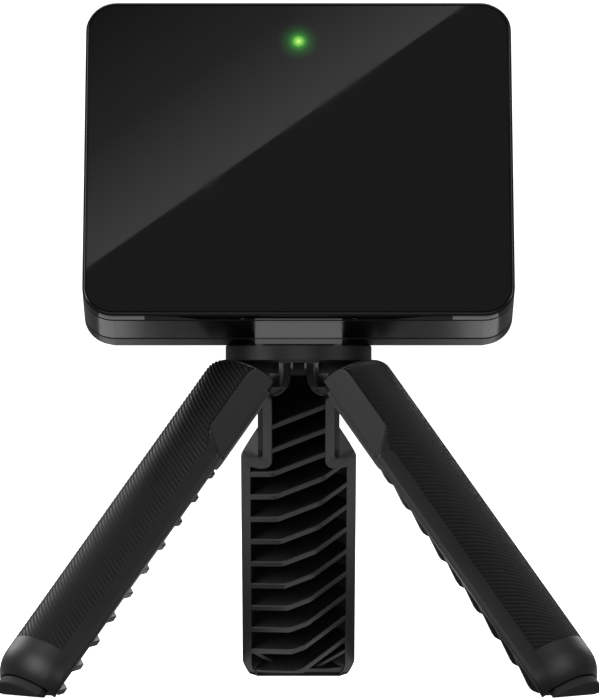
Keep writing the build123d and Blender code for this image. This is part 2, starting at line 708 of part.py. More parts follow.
INNER_HALF_WIDTH = LEG_HALF_WIDTH - RIM_WIDTH
INNER_NECK = NECK_HALF_WIDTH - NECK_RIM
INNER_END = LEG_END - END_WALL
REACH = 2 * LEG_R


def mirrored(points):
    """A closed outline from its right-hand points, mirrored in the leg's middle plane."""
    return points + [(-x, y) for x, y in reversed(points)]


def side_view(frame):
    """The leg seen from the side: X outwards from the centre line, Y down the leg."""
    return Plane(origin=frame.origin, x_dir=frame.y_dir, z_dir=frame.y_dir.cross(frame.z_dir))


def front_view(frame):
    """The leg seen from outside: X across it, Y down it."""
    return Plane(origin=frame.origin, x_dir=frame.x_dir, z_dir=frame.x_dir.cross(frame.z_dir))


def make_ribs(frame):
    """Slanted ribs, cut to the hollow and to the sector that the leg may fill when folded."""
    with BuildPart() as slabs:
        for index in range(RIB_COUNT):
            middle = frame.from_local_coords(Vector(0, 0, RIB_FIRST + index * RIB_PITCH))
            slope = frame.x_dir * cos(radians(RIB_TILT)) + frame.z_dir * sin(radians(RIB_TILT))
            normal = slope.cross(frame.y_dir)
            with BuildSketch(Plane(origin=middle, x_dir=slope, z_dir=normal)):
                Rectangle(2 * REACH, 2 * REACH)
            extrude(amount=RIB / 2, both=True)
    with BuildPart() as ribs:
        with BuildSketch(frame.offset(NECK_END - INNER_NECK - RIB)):
            Polygon((0, 0), (REACH * WEDGE, REACH), (-REACH * WEDGE, REACH), align=None)
            Circle(LEG_R - LEG_WALL / 2, mode=Mode.INTERSECT)
        extrude(amount=INNER_END - NECK_END + INNER_NECK + RIB)
        with BuildSketch(front_view(frame)):
            overlap = RIM_WIDTH / 4
            Polygon(
                *mirrored(
                    [
                        (INNER_NECK + overlap, LEG_TOP),
                        (INNER_NECK + overlap, NECK_END),
                        (INNER_HALF_WIDTH + overlap, SHOULDER_END + RIB),
                        (INNER_HALF_WIDTH + overlap, INNER_END),
                    ]
                ),
                align=None,
            )
        extrude(amount=REACH, both=True, mode=Mode.INTERSECT)
        with BuildSketch(side_view(frame)):
            Polygon(
                (-REACH, 0),
                (RIB_EDGE_TOP, 0),
                (RIB_EDGE_TOP - RIB_EDGE_FALL * LEG_END, LEG_END),
                (-REACH, LEG_END),
                align=None,
            )
        extrude(amount=REACH, both=True, mode=Mode.SUBTRACT)
        add(slabs.part, mode=Mode.INTERSECT)
    return ribs.part


def make_leg(name, azimuth):
    frame = leg_frame(azimuth)
    ribs = make_ribs(frame)

    with BuildPart() as hollow:
        with BuildSketch(side_view(frame)):
            inner_r = LEG_R - LEG_WALL
            Polygon(
                (-LEG_R, -LEG_TOP),
                (inner_r - TOP_ROUND, -LEG_TOP),
                (inner_r - TOP_ROUND, LEG_TOP + LEG_WALL),
                (inner_r, LEG_TOP + LEG_WALL + TOP_ROUND),
                (inner_r, INNER_END - END_TAPER),
                (inner_r - END_SETBACK, INNER_END),
                (-LEG_R, INNER_END),
                align=None,
            )
        extrude(amount=REACH, both=True)
        with BuildSketch(frame.offset(-LEG_TOP)):
            Circle(inner_r)
        extrude(amount=INNER_END + LEG_TOP, mode=Mode.INTERSECT)
        with BuildSketch(front_view(frame)):
            Polygon(
                *mirrored(
                    [
                        (CHEEK_INNER, -LEG_TOP),
                        (CHEEK_INNER, FUNNEL_TOP),
                        (INNER_NECK, FUNNEL_END),
                        (INNER_NECK, NECK_END),
                        (INNER_HALF_WIDTH, SHOULDER_END + RIB),
                        (INNER_HALF_WIDTH, INNER_END),
                    ]
                ),
                align=None,
            )
        extrude(amount=REACH, both=True, mode=Mode.INTERSECT)

    # the cheeks flare out below the hub to meet the rails
    with BuildPart() as flare:
        with BuildSketch(front_view(frame)):
            Polygon(
                *mirrored(
                    [
                        (CHEEK_INNER, FUNNEL_TOP),
                        (CHEEK_OUTER, FUNNEL_TOP),
                        (FLARE_HALF_WIDTH, LEG_TOP + LEG_WALL),
                    ]
                ),
                align=None,
            )
        extrude(amount=REACH, both=True)
        with BuildSketch(side_view(frame)):
            Polygon(
                (RIB_EDGE_TOP, 0),
                (FLARE_OUT, 0),
                (FLARE_OUT, FUNNEL_END),
                (RIB_EDGE_TOP, FUNNEL_END),
                align=None,
            )
        extrude(amount=REACH, both=True, mode=Mode.INTERSECT)

    with BuildPart() as leg:
        # a third of a round bar, rounded at the top and drawn in above the foot
        with BuildSketch(side_view(frame)):
            with BuildLine():
                Line((0, LEG_TOP), (LEG_R - TOP_ROUND, LEG_TOP))
                RadiusArc((LEG_R - TOP_ROUND, LEG_TOP), (LEG_R, LEG_TOP + TOP_ROUND), -TOP_ROUND)
                Line((LEG_R, LEG_TOP + TOP_ROUND), (LEG_R, LEG_END - END_TAPER))
                TangentArc((LEG_R, LEG_END - END_TAPER), (LEG_R - END_SETBACK, LEG_END), tangent=(0, 1))
                Line((LEG_R - END_SETBACK, LEG_END), (0, LEG_END))
                Line((0, LEG_END), (0, LEG_TOP))
            make_face()
        revolve(axis=Axis(frame.origin, frame.z_dir), revolution_arc=SECTOR / 2)
        mirror(about=Plane(origin=frame.origin, x_dir=frame.y_dir, z_dir=frame.x_dir))
        with BuildSketch(front_view(frame)):
            Polygon(
                *mirrored(
                    [
                        (NECK_HALF_WIDTH, 0),
                        (NECK_HALF_WIDTH, NECK_END),
                        (LEG_HALF_WIDTH, SHOULDER_END),
                        (LEG_HALF_WIDTH, LEG_END),
                    ]
                ),
                align=None,
            )
        extrude(amount=REACH, both=True, mode=Mode.INTERSECT)
        # the neck and the knuckle round the hinge pin
        with BuildSketch(side_view(frame)):
            with Locations((LEG_OFFSET, 0)):
                Circle(KNUCKLE_R)
            Polygon(
                (LEG_OFFSET - KNUCKLE_R, 0),
                (LEG_OFFSET + KNUCKLE_R, 0),
                (LEG_OFFSET + KNUCKLE_R, LEG_TOP - 2 * KNUCKLE_R),
                (LEG_R - TOP_ROUND - KNUCKLE_R, LEG_TOP),
                (LEG_R - TOP_ROUND - KNUCKLE_R, FUNNEL_END),
                (RIB_EDGE_TOP, FUNNEL_END),
                (RIB_EDGE_TOP, LEG_TOP - KNUCKLE_R),
                (LEG_OFFSET - KNUCKLE_R, 2 * KNUCKLE_R),
                align=None,
            )
        extrude(amount=CHEEK_OUTER, both=True)
        add(flare.part)
        add(hollow.part, mode=Mode.SUBTRACT)
        # the end wall stops at the chord, so that only the foot reaches the floor
        with BuildSketch(side_view(frame)):
            Polygon(
                (-REACH, INNER_END),
                (END_CHORD, INNER_END),
                (END_CHORD, LEG_END),
                (-REACH, LEG_END),
                align=None,
            )
        extrude(amount=REACH, both=True, mode=Mode.SUBTRACT)
        add(ribs)
        with BuildSketch(side_view(frame)):
            with Locations((LEG_OFFSET, 0)):
                Circle(PIN_R + PIN_FIT)
        extrude(amount=CHEEK_OUTER, both=True, mode=Mode.SUBTRACT)
        # the hole that the foot's stem snaps into
        with BuildSketch(frame.offset(INNER_END)):
            with Locations((0, STEM_OUT)):
                Circle(FOOT_STEM_R)
        extrude(amount=END_WALL, mode=Mode.SUBTRACT)
        with BuildSketch(frame.offset(INNER_END)):
            with Locations((0, STEM_OUT)):
                Circle(FOOT_BARB_R + FIT)
        extrude(amount=-(FOOT_STEM - END_WALL), mode=Mode.SUBTRACT)
    save(leg.part, f"leg_{name}")


def make_foot(name, azimuth):
    frame = leg_frame(azimuth)
    with BuildPart() as foot:
        with BuildSketch(frame.offset(LEG_END)):
            Circle(FOOT_R)
            with Locations((0, FOOT_INNER + REACH / 2)):
                Rectangle(2 * FOOT_HALF_WIDTH, REACH, mode=Mode.INTERSECT)
        extrude(amount=FOOT_END - LEG_END)
        # the floor trims the lower corner to a flat
        with BuildSketch(Plane.XY):
            Rectangle(2 * LEG_END + REACH, 2 * LEG_END + REACH)
        extrude(amount=-REACH, mode=Mode.SUBTRACT)
        with BuildSketch(frame.offset(LEG_END)):
            with Locations((0, STEM_OUT)):
                Circle(FOOT_STEM_R)
        extrude(amount=-FOOT_STEM)
        with BuildSketch(frame.offset(INNER_END)):
            with Locations((0, STEM_OUT)):
                Circle(FOOT_BARB_R)
        extrude(amount=-(FOOT_STEM - END_WALL))
    save(foot.part, f"foot_{name}")


def make_pin(name, azimuth):
    frame = leg_frame(azimuth)
    pin_middle = frame.from_local_coords(Vector(0, LEG_OFFSET, 0))
    with BuildPart() as pin:
        with BuildSketch(Plane(origin=pin_middle, z_dir=frame.x_dir)):
            Circle(PIN_R)
        extrude(amount=PIN_HALF_LENGTH, both=True)
    save(pin.part, f"hinge_pin_{name}")


WASHER_R = 1.45
WASHER_THICK = 0.2


def make_washers():
    """Friction washers, one beside each cheek of each leg."""
    with BuildPart() as washers:
        for azimuth in LEG_AZIMUTHS.values():
            frame = leg_frame(azimuth)
            for side in (-1, 1):
                place = frame.from_local_coords(Vector(side * SLOT_HALF_WIDTH, LEG_OFFSET, 0))
                with BuildSketch(Plane(origin=place, z_dir=frame.x_dir * -side)):
                    Circle(WASHER_R)
                    Circle(PIN_R, mode=Mode.SUBTRACT)
                extrude(amount=WASHER_THICK)
    save(washers.part, "friction_washers")


for leg_name, leg_azimuth in LEG_AZIMUTHS.items():
    make_leg(leg_name, leg_azimuth)
    make_foot(leg_name, leg_azimuth)
    make_pin(leg_name, leg_azimuth)
make_washers()
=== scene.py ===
import json
import math

import bmesh
import bpy
import numpy as np
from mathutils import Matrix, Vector

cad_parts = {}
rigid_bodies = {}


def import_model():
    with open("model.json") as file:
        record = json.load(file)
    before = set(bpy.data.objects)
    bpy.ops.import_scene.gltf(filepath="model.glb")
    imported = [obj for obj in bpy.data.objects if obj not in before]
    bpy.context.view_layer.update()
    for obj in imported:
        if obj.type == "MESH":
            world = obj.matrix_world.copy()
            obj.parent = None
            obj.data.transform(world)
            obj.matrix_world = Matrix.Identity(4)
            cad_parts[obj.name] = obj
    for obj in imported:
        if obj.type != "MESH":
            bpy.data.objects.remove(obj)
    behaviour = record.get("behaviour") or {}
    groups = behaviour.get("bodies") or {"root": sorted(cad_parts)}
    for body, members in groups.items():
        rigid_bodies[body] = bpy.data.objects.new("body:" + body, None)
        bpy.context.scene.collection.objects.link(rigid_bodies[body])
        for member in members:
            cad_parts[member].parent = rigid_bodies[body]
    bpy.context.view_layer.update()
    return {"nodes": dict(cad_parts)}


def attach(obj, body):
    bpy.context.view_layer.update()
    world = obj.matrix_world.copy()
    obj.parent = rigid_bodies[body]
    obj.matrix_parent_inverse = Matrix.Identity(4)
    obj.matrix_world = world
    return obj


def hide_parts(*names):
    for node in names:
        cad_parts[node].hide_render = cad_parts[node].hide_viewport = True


# Looks for the golf launch monitor.  Metres, in the same frame as the CAD: +Z up, the glass face
# looks towards -Y, and the feet stand on Z = 0.

for leftover in list(bpy.data.objects):
    bpy.data.objects.remove(leftover)

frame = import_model()

MM = 0.001

# ---- sizes shared with the CAD, in millimetres ----
UNIT_WIDTH = 88.9
UNIT_HEIGHT = 71.1
CORNER_R = 6.4
LEAN = math.radians(21.5)
FACE_TO_HUB = 19.0
STRAIGHT_DEPTH = 16.0
COVER_DEPTH = 2.5
COVER_WALL = 1.4
WALL = 2.4
FACE_BEVEL = 0.45
LED_HEIGHT = 62.0
PIPE_R = 1.5

HUB_Y = -13.6
HUB_TOP = 71.5
HINGE_Z = 69.8
HINGE_RADIUS = 8.0
LEG_OPEN = math.radians(39.0)
LEG_OFFSET = 7.38
LEG_AZIMUTHS = {"left": -60.0, "right": 60.0, "rear": 180.0}

LEG_R = 14.8
LEG_TOP = 6.5
LEG_END = 88.2
LEG_WALL = 1.8
TOP_ROUND = 2.5
END_TAPER = 5.2
END_SETBACK = 2.1
END_WALL = 1.8
INNER_END = LEG_END - END_WALL
BODY_HALF = 12.25
BODY_INNER = 10.15
NECK_HALF = 8.65
NECK_RAIL = 7.6
NECK_INNER = 5.6
NECK_END = 22.9
NECK_STRAIGHT_END = 20.9   # the rim and the hollow keep the neck's widths down to here
SHOULDER_END = 27.7
SHOULDER_LOW = 26.9       # the shoulder slants: it starts here beside the rim
SHOULDER_LEAD = 0.2
FLAT_TOP_OUT = 11.9
FLAT_LOW_OUT = 5.3
CHEEK_OUTER = 3.1
CHEEK_INNER = 1.7
KNUCKLE_R = 1.5
FUNNEL_TOP = 3.8
FUNNEL_END = 8.6
FLARE_HALF = 6.2          # half width of the cheeks where they meet the leg's top
RIM_GAP = 0.06            # half the space between two folded legs' rims
RIM_PLANE = 4.39          # the funnel's rim lies this far out from the leg's centre line
SECTOR_SLOPE = 1 / math.tan(math.radians(60.0))
END_NARROWING = 0.85      # half width over radius where the leg tapers to its foot

RIB = 1.3
RIB_PITCH = 6.23
RIB_FIRST = 14.3
RIB_COUNT = 12
RIB_TILT = math.radians(25.5)
RIB_EDGE_TOP = 4.68
RIB_EDGE_FALL = 0.0494

GRIP_PITCH = 0.99         # fine grip ribs on the outside of each leg
GRIP_DEPTH = 0.4
GRIP_TILT = math.tan(math.radians(30.0))
GRIP_TOP = 7.2
GRIP_END = 80.0
GRIP_MARGIN = 1.9
GRIP_PROFILE = ((0.0, 0.0), (0.16, 0.1), (0.36, 1.0), (0.48, 1.0))

END_CHORD = 5.9
FOOT_INNER = 7.1
FOOT_R = 12.4
FOOT_HALF = 8.9
FOOT_END = 90.3

EDGE = 0.16               # small rounding on moulded edges


# =====================================================================================
# Mesh helpers
# =====================================================================================
class Shape:
    """Vertices (millimetres, in some local frame) and faces, gathered from closed forms."""

    def __init__(self):
        self.points = []
        self.faces = []

    def add(self, points, faces):
        start = len(self.points)
        self.points.extend(tuple(p) for p in points)
        self.faces.extend(tuple(start + i for i in face) for face in faces)

    def loft(self, rings, looped=False):
        """Skins rings of equally many points, and caps the ends or joins the last to the first."""
        count = len(rings[0])
        points = [p for ring in rings for p in ring]
        faces = []
        spans = len(rings) if looped else len(rings) - 1
        for r in range(spans):
            here = r * count
            there = ((r + 1) % len(rings)) * count
            for c in range(count):
                after = (c + 1) % count
                faces.append((here + c, here + after, there + after, there + c))
        if not looped:
            faces.append(tuple(reversed(range(count))))
            faces.append(tuple(range((len(rings) - 1) * count, len(rings) * count)))
        self.add(points, faces)

    def prism(self, outline, low, high, edge=EDGE):
        """A plate with this (a, b) outline between two heights, its edges slightly chamfered."""
        small = inset_outline(outline, edge)
        levels = ((low, small), (low + edge, outline), (high - edge, outline), (high, small))
        self.loft([[(a, b, c) for a, b in loop] for c, loop in levels])


def inset_outline(outline, distance):
    """An outline drawn in by a small distance along its corner bisectors."""
    points = np.array(outline, float)
    before = np.roll(points, 1, axis=0)
    after = np.roll(points, -1, axis=0)
    area = np.sum(before[:, 0] * points[:, 1] - points[:, 0] * before[:, 1])
    turn = 1.0 if area > 0 else -1.0
    first = points - before
    second = after - points
    first /= np.linalg.norm(first, axis=1)[:, None]
    second /= np.linalg.norm(second, axis=1)[:, None]
    normal_a = np.stack([-first[:, 1], first[:, 0]], 1) * turn
    normal_b = np.stack([-second[:, 1], second[:, 0]], 1) * turn
    bisector = normal_a + normal_b
    bisector /= np.sum(bisector * normal_a, axis=1)[:, None]
    return [tuple(p) for p in points + bisector * distance]


def to_mesh(name, shape, place, sharp=32.0):
    """A Blender mesh of the shape, moved to the row frame by place and scaled to metres."""
    mesh = bpy.data.meshes.new(name)
    points = place(np.array(shape.points, float)) * MM
    mesh.from_pydata(points.tolist(), [], shape.faces)
    work = bmesh.new()
    work.from_mesh(mesh)
    bmesh.ops.remove_doubles(work, verts=work.verts, dist=1e-7)
    bmesh.ops.dissolve_degenerate(work, edges=work.edges, dist=1e-7)
    bmesh.ops.recalc_face_normals(work, faces=work.faces)
    work.to_mesh(mesh)
    work.free()
    mesh.polygons.foreach_set("use_smooth", [True] * len(mesh.polygons))
    mesh.set_sharp_from_angle(angle=math.radians(sharp))
    return mesh


def make_piece(name, mesh, body, material, nodes):
    """Adds a detailed piece that rides on a body and stands in for the named CAD nodes."""
    obj = bpy.data.objects.new(name, mesh)
    bpy.context.scene.collection.objects.link(obj)
    mesh.materials.append(material)
    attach(obj, body)
    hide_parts(*nodes)


# =====================================================================================
# Local frames
# =====================================================================================
def unit_place(points):
    """(x, height up the face, depth behind it) to the row frame."""
    foot = np.array([0, HUB_Y - FACE_TO_HUB, HUB_TOP + STRAIGHT_DEPTH * math.sin(LEAN)])
    across = np.array([1.0, 0, 0])
    up = np.array([0, math.sin(LEAN), math.cos(LEAN)])
    back = np.array([0, math.cos(LEAN), -math.sin(LEAN)])
    return foot + points @ np.array([across, up, back])


def leg_axes(azimuth):
    """The leg's frame: across it, outwards from its centre line, down towards its foot."""
    turn = math.radians(azimuth)
    out = np.array([math.sin(turn), -math.cos(turn), 0])
    up = np.array([0, 0, 1.0])
    down = out * math.sin(LEG_OPEN) - up * math.cos(LEG_OPEN)
    outward = out * math.cos(LEG_OPEN) + up * math.sin(LEG_OPEN)
    hinge = np.array([0, HUB_Y, HINGE_Z]) + out * HINGE_RADIUS
    return hinge - outward * LEG_OFFSET, np.cross(outward, down), outward, down


def leg_place(azimuth):
    origin, across, outward, down = leg_axes(azimuth)
    return lambda points: origin + points @ np.array([across, outward, down])


# =====================================================================================
# Materials
# =====================================================================================
class Nodes:
    """A material's node tree, with short calls for the nodes used here."""

    def __init__(self, name):
        self.material = bpy.data.materials.new(name)
        self.material.use_nodes = True
        self.tree = self.material.node_tree
        self.shader = self.tree.nodes["Principled BSDF"]
        self.coordinates = self.tree.nodes.new("ShaderNodeTexCoord").outputs["Object"]

    def set(self, **values):
        for name, value in values.items():
            self.shader.inputs[name.replace("_", " ")].default_value = value

    def link(self, source, target):
        self.tree.links.new(source, target)

    def noise(self, scale, detail=3.0, roughness=0.6, stretch=None):
        node = self.tree.nodes.new("ShaderNodeTexNoise")
        node.inputs["Scale"].default_value = scale
        node.inputs["Detail"].default_value = detail
        node.inputs["Roughness"].default_value = roughness
        source = self.coordinates
        if stretch:
            mapping = self.tree.nodes.new("ShaderNodeMapping")
            mapping.inputs["Scale"].default_value = stretch
            self.link(source, mapping.inputs["Vector"])
            source = mapping.outputs["Vector"]
        self.link(source, node.inputs["Vector"])
        return node.outputs["Fac"]

    def cells(self, scale):
        node = self.tree.nodes.new("ShaderNodeTexVoronoi")
        node.inputs["Scale"].default_value = scale
        self.link(self.coordinates, node.inputs["Vector"])
        return node.outputs["Distance"]

    def ramp(self, source, stops):
        node = self.tree.nodes.new("ShaderNodeValToRGB")
        ramp = node.color_ramp
        while len(ramp.elements) < len(stops):
            ramp.elements.new(0.5)
        for element, (position, colour) in zip(ramp.elements, stops):
            element.position = position
            element.color = (*colour, 1.0)
        self.link(source, node.inputs["Fac"])
        return node.outputs["Color"]

    def remap(self, source, low, high, from_low=0.0, from_high=1.0):
        node = self.tree.nodes.new("ShaderNodeMapRange")
        node.inputs["From Min"].default_value = from_low
        node.inputs["From Max"].default_value = from_high
        node.inputs["To Min"].default_value = low
        node.inputs["To Max"].default_value = high
        self.link(source, node.inputs["Value"])
        return node.outputs["Result"]

    def distance_from(self, point):
        node = self.tree.nodes.new("ShaderNodeVectorMath")
        node.operation = "DISTANCE"
        node.inputs[1].default_value = point
        self.link(self.coordinates, node.inputs[0])
        return node.outputs["Value"]

    def math(self, operation, first, second=None):
        node = self.tree.nodes.new("ShaderNodeMath")
        node.operation = operation
        for value, socket in zip((first, second), node.inputs):
            if value is None:
                continue
            if isinstance(value, (int, float)):
                socket.default_value = value
            else:
                self.link(value, socket)
        return node.outputs["Value"]

    def bump(self, height, strength, distance):
        node = self.tree.nodes.new("ShaderNodeBump")
        node.inputs["Strength"].default_value = strength
        node.inputs["Distance"].default_value = distance
        self.link(height, node.inputs["Height"])
        return node.outputs["Normal"]

    def colour(self, source):
        self.link(source, self.shader.inputs["Base Color"])

    def roughness(self, source):
        self.link(source, self.shader.inputs["Roughness"])

    def normal(self, source):
        self.link(source, self.shader.inputs["Normal"])


def grey(value):
    return (value, value, value)


def moulded_plastic(name, tone, rough, grain=1600.0, depth=0.00002, strength=0.35, spread=0.25):
    """Textured injection-moulded plastic: fine spark-eroded grain, faint flow marks, handling wear."""
    n = Nodes(name)
    cloud = n.noise(55.0, 4.0)
    fine = n.noise(grain, 2.0, 0.7)
    n.colour(
        n.ramp(
            cloud,
            (
                (0.25, tuple(c * (1 - spread) for c in tone)),
                (0.55, tone),
                (0.8, tuple(c * (1 + spread) for c in tone)),
            ),
        )
    )
    mottled = n.math("ADD", n.remap(cloud, -0.07, 0.07), n.remap(fine, rough - 0.06, rough + 0.06))
    n.roughness(mottled)
    n.normal(n.bump(fine, strength, depth))
    return n.material


def metal(name, tone, rough, brushed=(1.0, 1.0, 1.0)):
    n = Nodes(name)
    n.set(Metallic=1.0)
    streaks = n.noise(900.0, 4.0, 0.6, brushed)
    n.colour(n.ramp(streaks, ((0.2, tuple(c * 0.8 for c in tone)), (0.8, tone))))
    n.roughness(n.remap(streaks, rough - 0.08, rough + 0.1))
    n.normal(n.bump(streaks, 0.2, 0.00001))
    return n.material


def rubber(name, tone, rough=0.75, strength=0.5):
    n = Nodes(name)
    dust = n.noise(140.0, 5.0, 0.7)
    pebble = n.cells(2600.0)
    n.colour(n.ramp(dust, ((0.3, tone), (0.75, tuple(c * 1.5 + 0.002 for c in tone)))))
    n.roughness(n.remap(dust, rough - 0.08, rough + 0.12))
    n.normal(n.bump(pebble, strength, 0.00002))
    return n.material


def gloss_black(name, tone, rough=0.006, haze=0.03):
    """Black gloss with the faint smears and dust that handling leaves."""
    n = Nodes(name)
    smears = n.noise(70.0, 5.0, 0.65, (1.0, 1.0, 0.35))
    specks = n.noise(3000.0, 2.0)
    n.colour(n.ramp(smears, ((0.3, tone), (0.8, tuple(c * 1.15 for c in tone)))))
    film = n.remap(smears, rough, rough + haze, 0.35, 0.75)
    n.roughness(n.math("ADD", film, n.remap(specks, 0.0, 0.015, 0.6, 0.9)))
    n.normal(n.bump(smears, 0.01, 0.00001))
    return n


def circuit_board(name):
    n = Nodes(name)
    n.set(IOR=1.5)
    tracks = n.tree.nodes.new("ShaderNodeTexBrick")
    tracks.inputs["Scale"].default_value = 260.0
    tracks.inputs["Mortar Size"].default_value = 0.03
    tracks.inputs["Color1"].default_value = (0.012, 0.05, 0.03, 1)
    tracks.inputs["Color2"].default_value = (0.014, 0.06, 0.034, 1)
    tracks.inputs["Mortar"].default_value = (0.03, 0.11, 0.06, 1)
    n.link(n.coordinates, tracks.inputs["Vector"])
    n.colour(tracks.outputs["Color"])
    weave = n.noise(700.0, 3.0)
    n.roughness(n.remap(weave, 0.3, 0.5))
    n.normal(n.bump(tracks.outputs["Fac"], 0.3, 0.00003))
    return n.material


def lamp(name, centre):
    """The status light seen through its pipe: a pale core that falls off to deep green."""
    n = Nodes(name)
    away = n.distance_from(centre)
    grain = n.remap(n.noise(1500.0, 2.0), -0.00008, 0.00008)
    radius = n.math("ADD", away, grain)
    share = n.remap(radius, 0.0, 1.0, 0.0, PIPE_R * MM)
    n.link(
        n.ramp(
            share,
            (
                (0.0, (0.62, 0.95, 0.20)),
                (0.45, (0.22, 0.62, 0.08)),
                (0.95, (0.03, 0.20, 0.03)),
            ),
        ),
        n.shader.inputs["Emission Color"],
    )
    n.set(Emission_Strength=1.0, Roughness=0.2)
    n.colour(n.ramp(share, ((0.0, (0.05, 0.12, 0.05)), (1.0, (0.01, 0.03, 0.01)))))
    return n.material


LED_POINT = tuple(unit_place(np.array([[0, LED_HEIGHT, 0]]))[0] * MM)


BLOOM_SPAN = (0.9, 3.3)   # the bloom fades out between these multiples of the pipe's radius
BLOOM_FALL = 2.2


def glass_with_painted_bloom(name):
    """The black glass, with the status light's green bloom painted into its surface as a glow that the
    glass itself emits.
    """
    n = gloss_black(name, grey(0.0062))
    near, far = (PIPE_R * MM * share for share in BLOOM_SPAN)
    # painted glow: the glass emits green round the status light and fades out between the BLOOM_SPAN
    # radii
    share = n.remap(n.distance_from(LED_POINT), 1.0, 0.0, near, far)
    bloom = n.math("POWER", n.math("MAXIMUM", share, 0.0), BLOOM_FALL)
    n.link(
        n.ramp(bloom, ((0.0, (0.0, 0.0, 0.0)), (0.5, (0.004, 0.06, 0.006)), (1.0, (0.03, 0.21, 0.03)))),
        n.shader.inputs["Emission Color"],
    )
    n.set(Emission_Strength=1.0)
    return n.material


MATERIALS = {
    "cover_gloss": gloss_black("cover gloss", grey(0.006)).material,
    "face_glass": glass_with_painted_bloom("face glass"),
    "light_pipe": lamp("light pipe", LED_POINT),
    "seal_rubber": rubber("seal rubber", grey(0.004), 0.7),
    "housing_satin": moulded_plastic("housing satin", grey(0.007), 0.24, 2600.0, 0.00001, 0.25, 0.12),
    "rear_plastic": moulded_plastic("rear plastic", grey(0.009), 0.40, 1500.0, 0.00002, 0.4, 0.15),
    "screw_steel": metal("screw steel", (0.32, 0.32, 0.33), 0.34),
    "insert_brass": metal("insert brass", (0.78, 0.57, 0.27), 0.3),
    "circuit_board": circuit_board("circuit board"),
    "copper": metal("copper", (0.80, 0.42, 0.25), 0.35),
    "led_body": moulded_plastic("led body", (0.55, 0.58, 0.5), 0.3, 1200.0),
    "connector_plastic": moulded_plastic("connector plastic", (0.55, 0.52, 0.44), 0.5),
    "shield_metal": metal("shield metal", (0.62, 0.62, 0.6), 0.3, (1.0, 6.0, 1.0)),
    "battery_wrap": moulded_plastic("battery wrap", (0.035, 0.055, 0.12), 0.35, 400.0),
    "foam": rubber("foam", (0.05, 0.05, 0.055), 0.9, 1.0),
    "button_rubber": rubber("button rubber", grey(0.012), 0.6),
    "hub_plastic": moulded_plastic("hub plastic", grey(0.008), 0.42, 1800.0),
    "pin_steel": metal("pin steel", (0.45, 0.45, 0.46), 0.28, (8.0, 1.0, 1.0)),
    "leg_plastic": moulded_plastic("leg plastic", grey(0.008), 0.44, 1700.0, 0.00002, 0.45, 0.2),
    "foot_rubber": rubber("foot rubber", grey(0.010), 0.7),
}


# =====================================================================================
# Front of the unit: bezel, glass and light
# =====================================================================================
def rounded_outline(inset, steps=10):
    """The unit's outline drawn in by inset, as (x, height) points."""
    radius = CORNER_R - inset
    half_x = UNIT_WIDTH / 2 - CORNER_R
    low = CORNER_R
    high = UNIT_HEIGHT - CORNER_R
    corners = ((half_x, low, -90), (half_x, high, 0), (-half_x, high, 90), (-half_x, low, 180))
    points = []
    for x, y, start in corners:
        for k in range(steps + 1):
            angle = math.radians(start + 90 * k / steps)
            points.append((x + radius * math.cos(angle), y + radius * math.sin(angle)))
    return points


def ring_from_profile(profile):
    """A closed band round the unit, from (inset, depth) points of its section."""
    rings = [[(x, y, depth) for x, y in rounded_outline(inset)] for inset, depth in profile]
    shape = Shape()
    shape.loft(rings, looped=True)
    return shape


GLASS_INSET = 0.85
GLASS_DEPTH = 0.45
GLASS_EASE = 0.06         # the eased edge of the glass
GROOVE = 0.16             # between the glass and the bezel
HOLE_GAP = 0.03           # round the light pipe
SEAT_DEPTH = 0.5          # the ledge that the glass is glued to
SEAT_WIDTH = 0.6
bezel_profile = (
    (0.0, FACE_BEVEL + 0.05),
    (0.04, FACE_BEVEL - 0.06),
    (FACE_BEVEL - 0.06, 0.04),
    (FACE_BEVEL + 0.04, 0.0),
    (GLASS_INSET - GROOVE - 0.05, 0.0),
    (GLASS_INSET - GROOVE, 0.05),
    (GLASS_INSET - GROOVE, SEAT_DEPTH),
    (GLASS_INSET + SEAT_WIDTH, SEAT_DEPTH),
    (GLASS_INSET + SEAT_WIDTH, COVER_WALL),
    (WALL, COVER_WALL),
    (WALL, COVER_DEPTH),
    (EDGE, COVER_DEPTH),
    (0.0, COVER_DEPTH - EDGE),
)
bezel_mesh = to_mesh("front_bezel", ring_from_profile(bezel_profile), unit_place)
make_piece("front_bezel", bezel_mesh, "unit", MATERIALS["cover_gloss"], ("front_cover",))


def circle_points(x, y, radius, count=48):
    turns = [2 * math.pi * k / count for k in range(count)]
    return [(x + radius * math.cos(a), y + radius * math.sin(a)) for a in turns]


